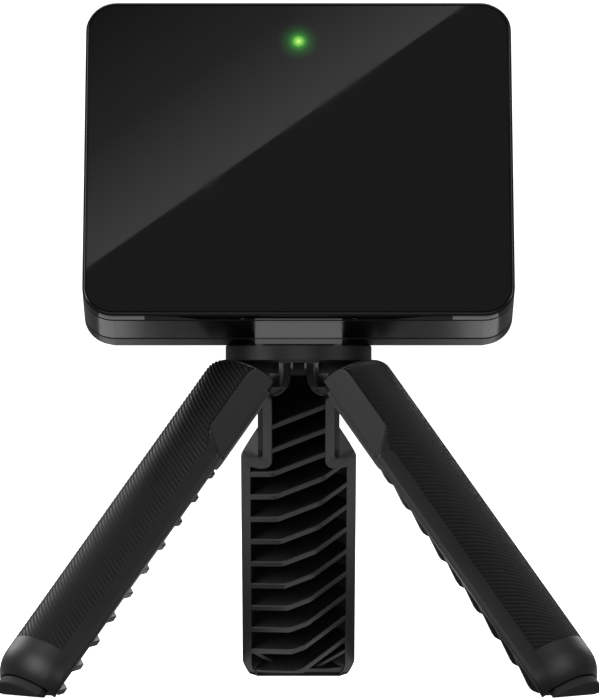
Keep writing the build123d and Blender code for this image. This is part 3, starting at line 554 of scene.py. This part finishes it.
def glass_mesh():
    """The flat glass with eased edges and a hole for the light pipe."""
    pane = bmesh.new()
    levels = ((GLASS_INSET + GLASS_EASE, 0.0), (GLASS_INSET, GLASS_EASE), (GLASS_INSET, GLASS_DEPTH))
    hole = PIPE_R + HOLE_GAP
    hole_levels = ((hole + 0.05, 0.0), (hole, GLASS_EASE), (hole, GLASS_DEPTH))
    loops = {"outer": [], "hole": []}
    for inset, depth in levels:
        loops["outer"].append([pane.verts.new((x, y, depth)) for x, y in rounded_outline(inset)])
    for radius, depth in hole_levels:
        circle = circle_points(0, LED_HEIGHT, radius)
        loops["hole"].append([pane.verts.new((x, y, depth)) for x, y in circle])
    for rings in loops.values():
        for near, far in zip(rings, rings[1:]):
            for k in range(len(near)):
                after = (k + 1) % len(near)
                pane.faces.new((near[k], near[after], far[after], far[k]))
    for level in (0, -1):
        edges = []
        for rings in loops.values():
            ring = rings[level]
            for k, vert in enumerate(ring):
                edge = pane.edges.get((vert, ring[(k + 1) % len(ring)]))
                edges.append(edge)
        bmesh.ops.triangle_fill(pane, use_beauty=True, edges=edges)
    bmesh.ops.recalc_face_normals(pane, faces=pane.faces)
    points = unit_place(np.array([tuple(v.co) for v in pane.verts])) * MM
    for vert, point in zip(pane.verts, points):
        vert.co = point
    mesh = bpy.data.meshes.new("face_glass")
    pane.to_mesh(mesh)
    pane.free()
    mesh.polygons.foreach_set("use_smooth", [True] * len(mesh.polygons))
    mesh.set_sharp_from_angle(angle=math.radians(20))
    return mesh


make_piece("face_glass", glass_mesh(), "unit", MATERIALS["face_glass"], ("front_cover",))

pipe_shape = Shape()
PIPE_FLANGE_R = 2.3
PIPE_BACK = 2.0
PIPE_LEVELS = (
    (1.2, 0.0),
    (PIPE_R - 0.06, 0.03),
    (PIPE_R, 0.1),
    (PIPE_R, COVER_WALL),
    (PIPE_FLANGE_R, COVER_WALL),
    (PIPE_FLANGE_R, PIPE_BACK),
)
pipe_shape.loft(
    [[(x, y, depth) for x, y in circle_points(0, LED_HEIGHT, radius)] for radius, depth in PIPE_LEVELS]
)
make_piece(
    "light_pipe_lens",
    to_mesh("light_pipe_lens", pipe_shape, unit_place),
    "unit",
    MATERIALS["light_pipe"],
    ("light_pipe",),
)


# =====================================================================================
# Legs
# =====================================================================================
def ease(value, low, high):
    """0 before low, 1 after high, straight between."""
    return min(1.0, max(0.0, (value - low) / (high - low)))


def outer_radius(u):
    """The leg's outer radius at a distance u below its hinge."""
    if u < LEG_TOP + TOP_ROUND:
        rest = LEG_TOP + TOP_ROUND - u
        return LEG_R - TOP_ROUND + math.sqrt(max(0.0, TOP_ROUND**2 - rest**2))
    if u > LEG_END - END_TAPER:
        bend = (END_TAPER**2 + END_SETBACK**2) / (2 * END_SETBACK)
        past = u - (LEG_END - END_TAPER)
        return LEG_R - bend + math.sqrt(bend**2 - past**2)
    return LEG_R


def half_width(u):
    straight = NECK_HALF + (BODY_HALF - NECK_HALF) * ease(u, NECK_END, SHOULDER_END)
    return min(straight, END_NARROWING * outer_radius(u)) if u > SHOULDER_END else straight


def side_half_width(u):
    """Half width of the flat side below the slanting shoulder."""
    if u > SHOULDER_END:
        return half_width(u)
    return NECK_HALF + (BODY_HALF - NECK_HALF) * ease(u, SHOULDER_LOW - SHOULDER_LEAD, SHOULDER_END)


def quarter(value):
    """A curve from 0 to 1 that starts slowly and ends steeply, like a quarter circle."""
    return 1 - math.sqrt(max(0.0, 1 - value * value))


FUNNEL_FADE_END = 10.6
RAIL_PROUD = 0.7          # the neck's rail stands proud of the strip beside it
RAIL_TURN = (24.9, 27.3)
INNER_TURN = (25.9, 29.4)


def rail_half_width(u):
    """Outer edge of the rim that faces the other legs."""
    if u < NECK_STRAIGHT_END:
        return FLARE_HALF + (NECK_RAIL - FLARE_HALF) * ease(u, LEG_TOP, FUNNEL_END)
    return NECK_RAIL + (half_width(u) - NECK_RAIL) * quarter(ease(u, *RAIL_TURN))


def inner_half_width(u):
    if u < NECK_STRAIGHT_END:
        return CHEEK_INNER + (NECK_INNER - CHEEK_INNER) * quarter(ease(u, FUNNEL_TOP, FUNNEL_END))
    wide = BODY_INNER - (BODY_HALF - half_width(u) if u > SHOULDER_END else 0)
    return NECK_INNER + (wide - NECK_INNER) * quarter(ease(u, *INNER_TURN))


def rim_out(t, u):
    """How far out the rim stands: on the plane shared with the next leg, or the funnel's flat."""
    funnel = 1 - ease(u, FUNNEL_END, FUNNEL_FADE_END)
    return max(t * SECTOR_SLOPE + RIM_GAP, RIM_PLANE * funnel)


def grip_half_width(u):
    margin = EDGE + (GRIP_MARGIN - EDGE) * ease(u, NECK_END, SHOULDER_END + 1)
    return half_width(u) - margin


def margin_step(u):
    """How far the smooth margin stands above the grip's grooves."""
    return GRIP_DEPTH * ease(u, NECK_END, SHOULDER_END)


def ceiling(t, u):
    """The hollow's outer side."""
    inner_r = LEG_R - LEG_WALL
    low = inner_r - TOP_ROUND
    if u > LEG_END - END_TAPER - END_WALL:
        inner_r -= LEG_R - outer_radius(min(u + END_WALL, LEG_END))
    arc = math.sqrt(max(0.01, inner_r**2 - t * t))
    share = ease(u, LEG_TOP + LEG_WALL, LEG_TOP + LEG_WALL + TOP_ROUND)
    return min(arc, low + (arc - low) * share)


HOLLOW_LEAST = 0.5        # the hollow is at least this deep beside the rim
PROUD_LEAST = 0.1         # the side's lower edge always stands this far above the rim
FLAT_LEAST = 0.3          # least height of the flat side
CORNER_LEAST = 0.2        # least drop from the outer corner to the flat side
CORNER_DROP = 0.12        # easing of the outer corner, down the side
CORNER_EASE = 0.05        # and across it
GRIP_LEAN = 0.03          # lean of the grip recess's side
HOLLOW_DROP = 0.4         # easing of the corner between the hollow's side and its ceiling
HOLLOW_EASE = 0.12
ARC_STEPS = 14
CEILING_STEPS = 8
SOLVE_STEPS = 12          # rounds that settle where a slanted row meets the leg's side


def leg_section(u):
    """Right half of the leg's section, from the outer centre line round the rim to the hollow."""
    outer = outer_radius(u)
    half = half_width(u)
    grip = grip_half_width(u)
    rail = min(rail_half_width(u), half - EDGE)
    side = max(side_half_width(u), rail + EDGE)
    inner = inner_half_width(u)
    floor_r = outer - GRIP_DEPTH if GRIP_TOP <= u <= GRIP_END else outer
    margin_r = floor_r + margin_step(u) if floor_r < outer else outer
    points = []
    for k in range(ARC_STEPS + 1):
        angle = math.asin(grip / outer) * k / ARC_STEPS
        points.append((floor_r * math.sin(angle), floor_r * math.cos(angle)))
    step = grip + GRIP_LEAN
    points.append((step, math.sqrt(margin_r**2 - step**2)))
    corner = math.sqrt(margin_r**2 - half**2)
    near = half - CORNER_EASE
    points.append((near, math.sqrt(margin_r**2 - near**2)))
    points.append((half, corner - CORNER_DROP))
    proud = RAIL_PROUD * (1 - ease(u, RAIL_TURN[0], SHOULDER_END)) + PROUD_LEAST
    flat_low = rim_out(side, u) + proud
    line = FLAT_TOP_OUT + (FLAT_LOW_OUT - FLAT_TOP_OUT) * ease(u, NECK_END, SHOULDER_LOW)
    points.append((side, min(max(line, flat_low + FLAT_LEAST), corner - CORNER_LEAST)))
    points.append((side, flat_low + EDGE))
    points.append((side - EDGE * 0.6, flat_low))
    points.append((rail + 0.02, flat_low - 0.05))
    points.append((rail, rim_out(rail, u) + min(EDGE, proud * 0.8)))
    points.append((rail - EDGE, rim_out(rail, u)))
    rim_edge = rim_out(inner + EDGE, u)
    points.append((inner + EDGE, rim_edge))
    points.append((inner, rim_edge + EDGE))
    top = max(ceiling(inner, u), rim_edge + EDGE + HOLLOW_LEAST)
    points.append((inner, top - HOLLOW_DROP))
    points.append((inner - HOLLOW_EASE, top - 0.1))
    for k in range(1, CEILING_STEPS + 1):
        t = (inner - 0.2) * (1 - k / CEILING_STEPS)
        points.append((t, ceiling(t, u)))
    return points


def leg_rows():
    """Where the leg's sections are taken: closely where its shape changes."""
    spans = (
        (LEG_TOP, LEG_TOP + TOP_ROUND, 10),
        (LEG_TOP + TOP_ROUND, FUNNEL_FADE_END, 8),
        (FUNNEL_FADE_END, NECK_END, 6),
        (NECK_END, RAIL_TURN[0], 4),
        (RAIL_TURN[0], RAIL_TURN[1], 12),
        (RAIL_TURN[1], INNER_TURN[1], 9),
        (INNER_TURN[1], GRIP_END, 24),
        (GRIP_END, GRIP_END + 0.1, 1),
        (GRIP_END + 0.1, LEG_END - END_TAPER, 3),
        (LEG_END - END_TAPER, LEG_END, 10),
    )
    rows = []
    for low, high, count in spans:
        rows.extend(low + (high - low) * k / count for k in range(count))
    rows.append(LEG_END)
    return rows


def mirrored_ring(points, u):
    """A full closed ring from its right half, whose first and last points lie on the middle."""
    right = [(t, w, u) for t, w in points]
    left = [(-t, w, u) for t, w in reversed(points[1:-1])]
    return right + left


def add_leg_shell(shape):
    rings = []
    for row in leg_rows():
        ring = mirrored_ring(leg_section(row), row)
        rings.append([(t, w, min(u, floor_limit(w) - FLOOR_GAP)) for t, w, u in ring])
    shape.loft(rings)


FLOOR_GAP = 0.08          # the shell stops this far above the floor
GRIP_COLUMNS = 22
GRIP_ROW_LEAST = 0.35     # shorter rows at the grip's corners are left out
GRIP_LIFT = 0.03          # share of the depth by which the ribs stand clear of the recess
GRIP_ROOT = 0.9           # how far below the surface the grip's skin closes


def grip_limits(v):
    """The row's two ends: at the grip's side edges, or where it leaves the grip's top or end."""
    ends = []
    for side in (-1, 1):
        t = side * BODY_HALF
        for _ in range(SOLVE_STEPS):
            u = min(max(v + t * GRIP_TILT, GRIP_TOP), GRIP_END)
            t = side * grip_half_width(u)
        ends.append(t)
    low = max(ends[0], (GRIP_TOP - v) / GRIP_TILT)
    high = min(ends[1], (GRIP_END - v) / GRIP_TILT)
    return low, high


def add_grip(shape):
    """The fine slanted grip ribs, as one closed skin set in the shell's shallow recess."""
    reach = BODY_HALF * GRIP_TILT
    count = int((GRIP_END - GRIP_TOP + 2 * reach) / GRIP_PITCH)
    rings = []
    for k in range(count):
        for phase, height in GRIP_PROFILE:
            v = GRIP_TOP - reach + (k + phase) * GRIP_PITCH
            low, high = grip_limits(v)
            if high - low < GRIP_ROW_LEAST:
                continue
            top = []
            under = []
            for c in range(GRIP_COLUMNS + 1):
                t = low + (high - low) * c / GRIP_COLUMNS
                u = v + t * GRIP_TILT
                outer = outer_radius(u)
                crest = outer - GRIP_DEPTH * (1 - GRIP_LIFT - height)
                root = outer - GRIP_ROOT
                angle = math.asin(t / outer)
                top.append((crest * math.sin(angle), crest * math.cos(angle), u))
                under.append((root * math.sin(angle), root * math.cos(angle), u))
            rings.append(top + under[::-1])
    shape.loft(rings)


RIB_STEPS = 28
RIB_BITE = 0.3            # how far the ribs' ends and roots reach into the walls
RIB_ROOT = 0.5


def add_inner_ribs(shape):
    """Slanted ribs across the hollow, with eased free edges."""
    slope = math.tan(RIB_TILT)
    half = RIB / 2 / math.cos(RIB_TILT)
    for index in range(RIB_COUNT):
        middle = RIB_FIRST + index * RIB_PITCH
        ends = []
        for side in (-1, 1):
            t = side * BODY_INNER
            for _ in range(SOLVE_STEPS):
                t = side * (inner_half_width(middle + t * slope) + RIB_BITE)
            ends.append(t)
        rings = []
        for k in range(RIB_STEPS + 1):
            t = ends[0] + (ends[1] - ends[0]) * k / RIB_STEPS
            u = middle + t * slope
            free = max(RIB_EDGE_TOP - RIB_EDGE_FALL * u, abs(t) * SECTOR_SLOPE + RIM_GAP)
            root = ceiling(t, min(u, INNER_END)) + RIB_ROOT
            section = (
                (root, -half),
                (free + EDGE, -half),
                (free, -half + EDGE),
                (free, half - EDGE),
                (free + EDGE, half),
                (root, half),
            )
            rings.append([(t, w, min(u + rise, INNER_END + 0.2)) for w, rise in section])
        shape.loft(rings)


def cheek_span(u):
    """How far in and out the cheeks reach at a distance u below the hinge."""
    if u < 0:
        reach = math.sqrt(max(0.01, KNUCKLE_R**2 - u * u))
        return LEG_OFFSET - reach, LEG_OFFSET + reach
    narrow = LEG_OFFSET - KNUCKLE_R
    wide = LEG_OFFSET + KNUCKLE_R
    low = narrow + (RIM_PLANE - narrow) * ease(u, KNUCKLE_R, LEG_TOP)
    high = wide + (LEG_R - TOP_ROUND - KNUCKLE_R - wide) * ease(u, 2 * KNUCKLE_R, LEG_TOP)
    return low, high


CHEEK_ROWS = 28


def add_neck(shape):
    """The two cheeks that hold the hinge pin and flare out to meet the leg."""
    bottom = FUNNEL_END + 0.3
    for side in (-1, 1):
        rings = []
        for k in range(CHEEK_ROWS + 1):
            u = (bottom + KNUCKLE_R) * (1 - math.cos(math.pi * k / CHEEK_ROWS)) / 2 - KNUCKLE_R
            low, high = cheek_span(u)
            flare = quarter(ease(u, FUNNEL_TOP - KNUCKLE_R, LEG_TOP + LEG_WALL))
            inner = CHEEK_INNER + (NECK_INNER - CHEEK_INNER) * quarter(ease(u, FUNNEL_TOP, bottom + EDGE))
            outer = max(CHEEK_OUTER + (FLARE_HALF - CHEEK_OUTER) * flare, inner + 2 * EDGE)
            ring = (
                (inner + EDGE, low),
                (outer - EDGE, low),
                (outer, low + EDGE),
                (outer, high - EDGE),
                (outer - EDGE, high),
                (inner + EDGE, high),
                (inner, high - EDGE),
                (inner, low + EDGE),
            )
            rings.append([(side * t, w, u) for t, w in ring])
        shape.loft(rings)


WALL_INSET = 0.3          # the end wall's edge lies this far inside the shell's surface
WALL_SINK = 0.5           # and this far at its upper side
WALL_ARC_STEPS = 24


def add_end_wall(shape):
    """The plate that closes the leg above its foot, its edge buried in the shell."""
    rings = []
    for u, inset in ((INNER_END, WALL_SINK), (LEG_END - 0.2, WALL_INSET), (LEG_END, WALL_INSET)):
        outer = outer_radius(u) - inset
        reach = min(math.sqrt(outer**2 - END_CHORD**2), half_width(u) - WALL_INSET)
        limit = math.asin(reach / outer)
        ring = []
        for share in (1, 0.5, 0, -0.5, -1):
            clear = abs(share) * reach * SECTOR_SLOPE + RIM_GAP
            ring.append((reach * share, max(END_CHORD, clear), u))
        for k in range(WALL_ARC_STEPS + 1):
            angle = -limit + 2 * limit * k / WALL_ARC_STEPS
            ring.append((outer * math.sin(angle), outer * math.cos(angle), u))
        rings.append(ring)
    shape.loft(rings)


GUSSET_RISE = (5.4, 4.2)  # the web's two edges, up the rail from the end wall
GUSSET_RUN = (6.7, 5.4)   # and along the end wall from the hollow's side
GUSSET_DEPTH = (6.6, 8.6)
GUSSET_BITE = (0.4, 0.1)  # how far it reaches into the rail and into the wall


def add_gussets(shape):
    """Corner webs between the rails and the end wall."""
    rail_bite, wall_bite = GUSSET_BITE
    for side in (-1, 1):
        outline = [
            (side * (BODY_INNER + rail_bite), INNER_END - GUSSET_RISE[0]),
            (side * (BODY_INNER + rail_bite), INNER_END - GUSSET_RISE[1]),
            (side * (BODY_INNER - GUSSET_RUN[1]), INNER_END + wall_bite),
            (side * (BODY_INNER - GUSSET_RUN[0]), INNER_END + wall_bite),
        ]
        part = Shape()
        part.prism(outline, *GUSSET_DEPTH, 0.12)
        shape.add([(a, c, b) for a, b, c in part.points], part.faces)


FOOT_EASE = 0.3
FOOT_ARC_STEPS = 28


def add_foot(shape):
    """A rubber pad with eased edges, its lower corner flattened on the floor."""
    rings = []
    levels = (
        (LEG_END - FOOT_EASE, -2 * FOOT_EASE),
        (LEG_END, -0.35),
        (LEG_END + FOOT_EASE, 0.0),
        (FOOT_END - FOOT_EASE, 0.0),
        (FOOT_END, -FOOT_EASE),
    )
    for u, grow in levels:
        outer = FOOT_R + grow
        chord = FOOT_INNER - grow * 0.5
        reach = min(math.sqrt(outer**2 - chord**2), FOOT_HALF + grow)
        limit = math.asin(reach / outer)
        ring = []
        for k in range(FOOT_ARC_STEPS + 1):
            angle = -limit + 2 * limit * k / FOOT_ARC_STEPS
            ring.append((outer * math.sin(angle), outer * math.cos(angle), u))
        for share in (1, 0.4, -0.4, -1):
            ring.append((reach * share, chord, u))
        rings.append(ring)
    floor_rings = []
    for ring in rings:
        floor_rings.append([(t, w, min(u, floor_limit(w))) for t, w, u in ring])
    shape.loft(floor_rings)


def floor_limit(w):
    """The distance down the leg at which a point this far out reaches the floor."""
    return (HINGE_Z + (w - LEG_OFFSET) * math.sin(LEG_OPEN)) / math.cos(LEG_OPEN)


for leg_name, leg_azimuth in LEG_AZIMUTHS.items():
    place = leg_place(leg_azimuth)
    leg = Shape()
    add_leg_shell(leg)
    add_grip(leg)
    add_inner_ribs(leg)
    add_neck(leg)
    add_end_wall(leg)
    add_gussets(leg)
    make_piece(
        f"tripod_leg_{leg_name}",
        to_mesh(f"tripod_leg_{leg_name}", leg, place, 28.0),
        f"leg_{leg_name}",
        MATERIALS["leg_plastic"],
        (f"leg_{leg_name}",),
    )
    foot = Shape()
    add_foot(foot)
    make_piece(
        f"tripod_foot_{leg_name}",
        to_mesh(f"tripod_foot_{leg_name}", foot, place),
        f"leg_{leg_name}",
        MATERIALS["foot_rubber"],
        (f"foot_{leg_name}",),
    )


# =====================================================================================
# Finishes for the CAD nodes that keep their own shape
# =====================================================================================
for node_name, node in frame["nodes"].items():
    for slot_entry in node.material_slots:
        if slot_entry.material and slot_entry.material.name in MATERIALS:
            slot_entry.material = MATERIALS[slot_entry.material.name]


# =====================================================================================
# Stage, light and camera
# =====================================================================================
def stage_material(name, tone, glow):
    n = Nodes(name)
    paper = n.noise(30.0, 3.0)
    n.colour(n.ramp(paper, ((0.0, grey(tone * 0.99)), (1.0, grey(tone)))))
    n.set(Roughness=0.9, Emission_Strength=glow)
    n.shader.inputs["Emission Color"].default_value = (1, 1, 1, 1)
    return n.material


SWEEP_FAR = 6.0
SWEEP_BEND = 1.5
SWEEP_STEPS = 12
SWEEP_TONE = 0.8
SWEEP_GLOW = 1.25

# The reflected cards, in millimetres.  They bring back the highlights in the unit's underside.
CARD_TONE = 0.02
CARD_HEIGHT = 1.0
CARD_REACH = (-20.0, 260.0)
CARD_SLANT = 3.0
CENTRE_CARD_HALF = 14.0
SIDE_CARD_INNER = 36.5
SIDE_CARD_OUTER = 90.0
HUB_CARD_HALF = 9.0
HUB_CARD_HEIGHT = 71.7
HUB_CARD_DEPTH = 13.0
CARD_GLOW = 1.05
HUB_CARD_GLOW = 0.75


def make_stage():
    """A pale glowing sheet, from the floor up into a backdrop.  The camera sees it, but it lights
    nothing and shows in no reflection, so the object's tones come from the lights and cards."""
    rows = [(-SWEEP_FAR, 0.0), (SWEEP_FAR, 0.0)]
    for k in range(1, SWEEP_STEPS + 1):
        angle = math.pi / 2 * k / SWEEP_STEPS
        rows.append((SWEEP_FAR + SWEEP_BEND * math.sin(angle), SWEEP_BEND * (1 - math.cos(angle))))
    rows.append((SWEEP_FAR + SWEEP_BEND, SWEEP_FAR))
    points = []
    faces = []
    for y, z in rows:
        points.extend([(-SWEEP_FAR, y, z), (SWEEP_FAR, y, z)])
    for k in range(len(rows) - 1):
        faces.append((2 * k, 2 * k + 1, 2 * k + 3, 2 * k + 2))
    mesh = bpy.data.meshes.new("studio_sweep")
    mesh.from_pydata(points, [], faces)
    mesh.polygons.foreach_set("use_smooth", [True] * len(mesh.polygons))
    mesh.materials.append(stage_material("studio paper", SWEEP_TONE, SWEEP_GLOW))
    sweep = bpy.data.objects.new("studio_sweep", mesh)
    sweep.visible_diffuse = False
    sweep.visible_glossy = False
    bpy.context.scene.collection.objects.link(sweep)


def make_bounce_card(name, corners, height, glow):
    """A level bright card that shows only in reflections."""
    mesh = bpy.data.meshes.new(name)
    mesh.from_pydata([(x * MM, y * MM, height * MM) for x, y in corners], [], [(0, 1, 2, 3)])
    mesh.materials.append(stage_material(f"{name} paper", CARD_TONE, glow))
    card = bpy.data.objects.new(name, mesh)
    card.visible_camera = False
    card.visible_diffuse = False
    card.visible_shadow = False
    bpy.context.scene.collection.objects.link(card)


def rectangle(half, near, far):
    return ((-half, near), (half, near), (half, far), (-half, far))


def make_bounce_cards():
    """Three cards at floor level and one just above the hub's top.  That one crosses the stud, so no
    real card could be there: it imitates whatever lights the middle of the underside."""
    near, far = CARD_REACH
    for side, name in ((-1, "bounce_left"), (1, "bounce_right")):
        inner = side * SIDE_CARD_INNER
        outer = side * SIDE_CARD_OUTER
        slant = side * CARD_SLANT
        corners = ((inner, near), (outer, near), (outer + slant, far), (inner + slant, far))
        make_bounce_card(name, corners, CARD_HEIGHT, CARD_GLOW)
    corners = rectangle(CENTRE_CARD_HALF, near, far)
    make_bounce_card("bounce_centre", corners, CARD_HEIGHT, CARD_GLOW)
    corners = rectangle(HUB_CARD_HALF, HUB_Y - HUB_CARD_DEPTH, HUB_Y + HUB_CARD_DEPTH)
    make_bounce_card("bounce_hub", corners, HUB_CARD_HEIGHT, HUB_CARD_GLOW)


def area_light(name, location, target, size, power):
    data = bpy.data.lights.new(name, "AREA")
    data.shape = "RECTANGLE"
    data.size, data.size_y = size
    data.energy = power
    lamp_object = bpy.data.objects.new(name, data)
    lamp_object.location = location
    aim = Vector(target) - Vector(location)
    lamp_object.rotation_mode = "QUATERNION"
    lamp_object.rotation_quaternion = aim.to_track_quat("-Z", "Y")
    bpy.context.scene.collection.objects.link(lamp_object)


CAMERA_DISTANCE = 1200.0
CAMERA_HEIGHT = 53.4
CAMERA_LENS = 296.6
AIM = (0.19, HUB_Y, 70.5)
camera_point = Vector((0, (HUB_Y - CAMERA_DISTANCE) * MM, CAMERA_HEIGHT * MM))


def make_camera():
    data = bpy.data.cameras.new("camera")
    data.lens = CAMERA_LENS
    data.sensor_width = 36.0
    data.clip_start = 0.05
    data.clip_end = 50.0
    camera = bpy.data.objects.new("camera", data)
    camera.location = camera_point
    aim = Vector(AIM) * MM - camera_point
    camera.rotation_mode = "QUATERNION"
    camera.rotation_quaternion = aim.to_track_quat("-Z", "Y")
    bpy.context.scene.collection.objects.link(camera)
    bpy.context.scene.camera = camera


SOFTBOX_LINE = ((-44.0, 10.2), (35.8, 71.1))    # the diagonal's ends, across and up the face
SOFTBOX_REACH = 0.9       # metres from the glass
SOFTBOX_MARGIN = 0.12
SOFTBOX_SPREAD = 1.25     # depth of the card, and of its fade, over the depth seen in the glass
SOFTBOX_FADE = 1.1


def make_reflected_card():
    """A softbox whose straight edge is seen as the diagonal in the glass, fading away from it.
    It is placed for this camera: from elsewhere the glass shows other reflections."""
    far_corner = (-UNIT_WIDTH / 2, UNIT_HEIGHT)
    normal = Vector((0, -math.cos(LEAN), math.sin(LEAN)))
    bounced = []
    for x, y in (*SOFTBOX_LINE, far_corner):
        point = Vector(unit_place(np.array([[x, y, 0]]))[0] * MM)
        ray = (point - camera_point).normalized()
        ray = ray - 2 * ray.dot(normal) * normal
        bounced.append(point + ray * SOFTBOX_REACH)
    start, end, corner = bounced
    along = (end - start).normalized()
    away = corner - start
    away -= away.dot(along) * along
    depth = away.length
    away.normalize()
    low = start - along * SOFTBOX_MARGIN
    high = end + along * SOFTBOX_MARGIN
    spread = away * depth * SOFTBOX_SPREAD
    points = [low, high, high + spread, low + spread]
    mesh = bpy.data.meshes.new("softbox_card")
    mesh.from_pydata([tuple(p) for p in points], [], [(0, 1, 2, 3)])
    n = Nodes("softbox glow")
    offset = n.tree.nodes.new("ShaderNodeVectorMath")
    offset.operation = "DOT_PRODUCT"
    offset.inputs[1].default_value = away
    n.link(n.coordinates, offset.inputs[0])
    base = start.dot(away)
    share = n.remap(offset.outputs["Value"], 0.0, 1.0, base, base + depth * SOFTBOX_FADE)
    n.link(
        n.ramp(share, ((0.0, grey(0.95)), (0.4, grey(0.3)), (1.0, grey(0.02)))),
        n.shader.inputs["Emission Color"],
    )
    n.set(Emission_Strength=1.0, Roughness=1.0)
    n.shader.inputs["Base Color"].default_value = (0, 0, 0, 1)
    mesh.materials.append(n.material)
    card = bpy.data.objects.new("softbox_card", mesh)
    bpy.context.scene.collection.objects.link(card)


WORLD_GLOW = 0.15


def make_world():
    world = bpy.data.worlds.new("studio")
    world.use_nodes = True
    background = world.node_tree.nodes["Background"]
    background.inputs["Color"].default_value = (1, 1, 1, 1)
    background.inputs["Strength"].default_value = WORLD_GLOW
    bpy.context.scene.world = world


make_stage()
make_bounce_cards()
make_camera()
make_reflected_card()
make_world()

# name, place and size in metres, watts; all aim at the object's middle
LIGHTS = (
    ("left_soft", (-1.3, -0.7, 0.75), (0.8, 1.2), 13.0),
    ("right_soft", (1.3, -0.7, 0.75), (0.8, 1.2), 7.0),
    ("top_soft", (0, 0.5, 1.5), (1.4, 1.0), 7.0),
    ("front_soft", (0, -1.7, 0.35), (1.2, 0.5), 4.0),
    ("back_left_soft", (-1.1, 1.5, 1.0), (0.9, 0.9), 9.0),
    ("back_right_soft", (0.8, 1.9, 0.9), (0.9, 0.9), 7.0),
)
centre = (0, HUB_Y * MM, 0.07)
for light_name, light_place, light_size, light_power in LIGHTS:
    area_light(light_name, light_place, centre, light_size, light_power)

bpy.context.scene.view_settings.view_transform = "Standard"
bpy.context.scene.view_settings.look = "None"
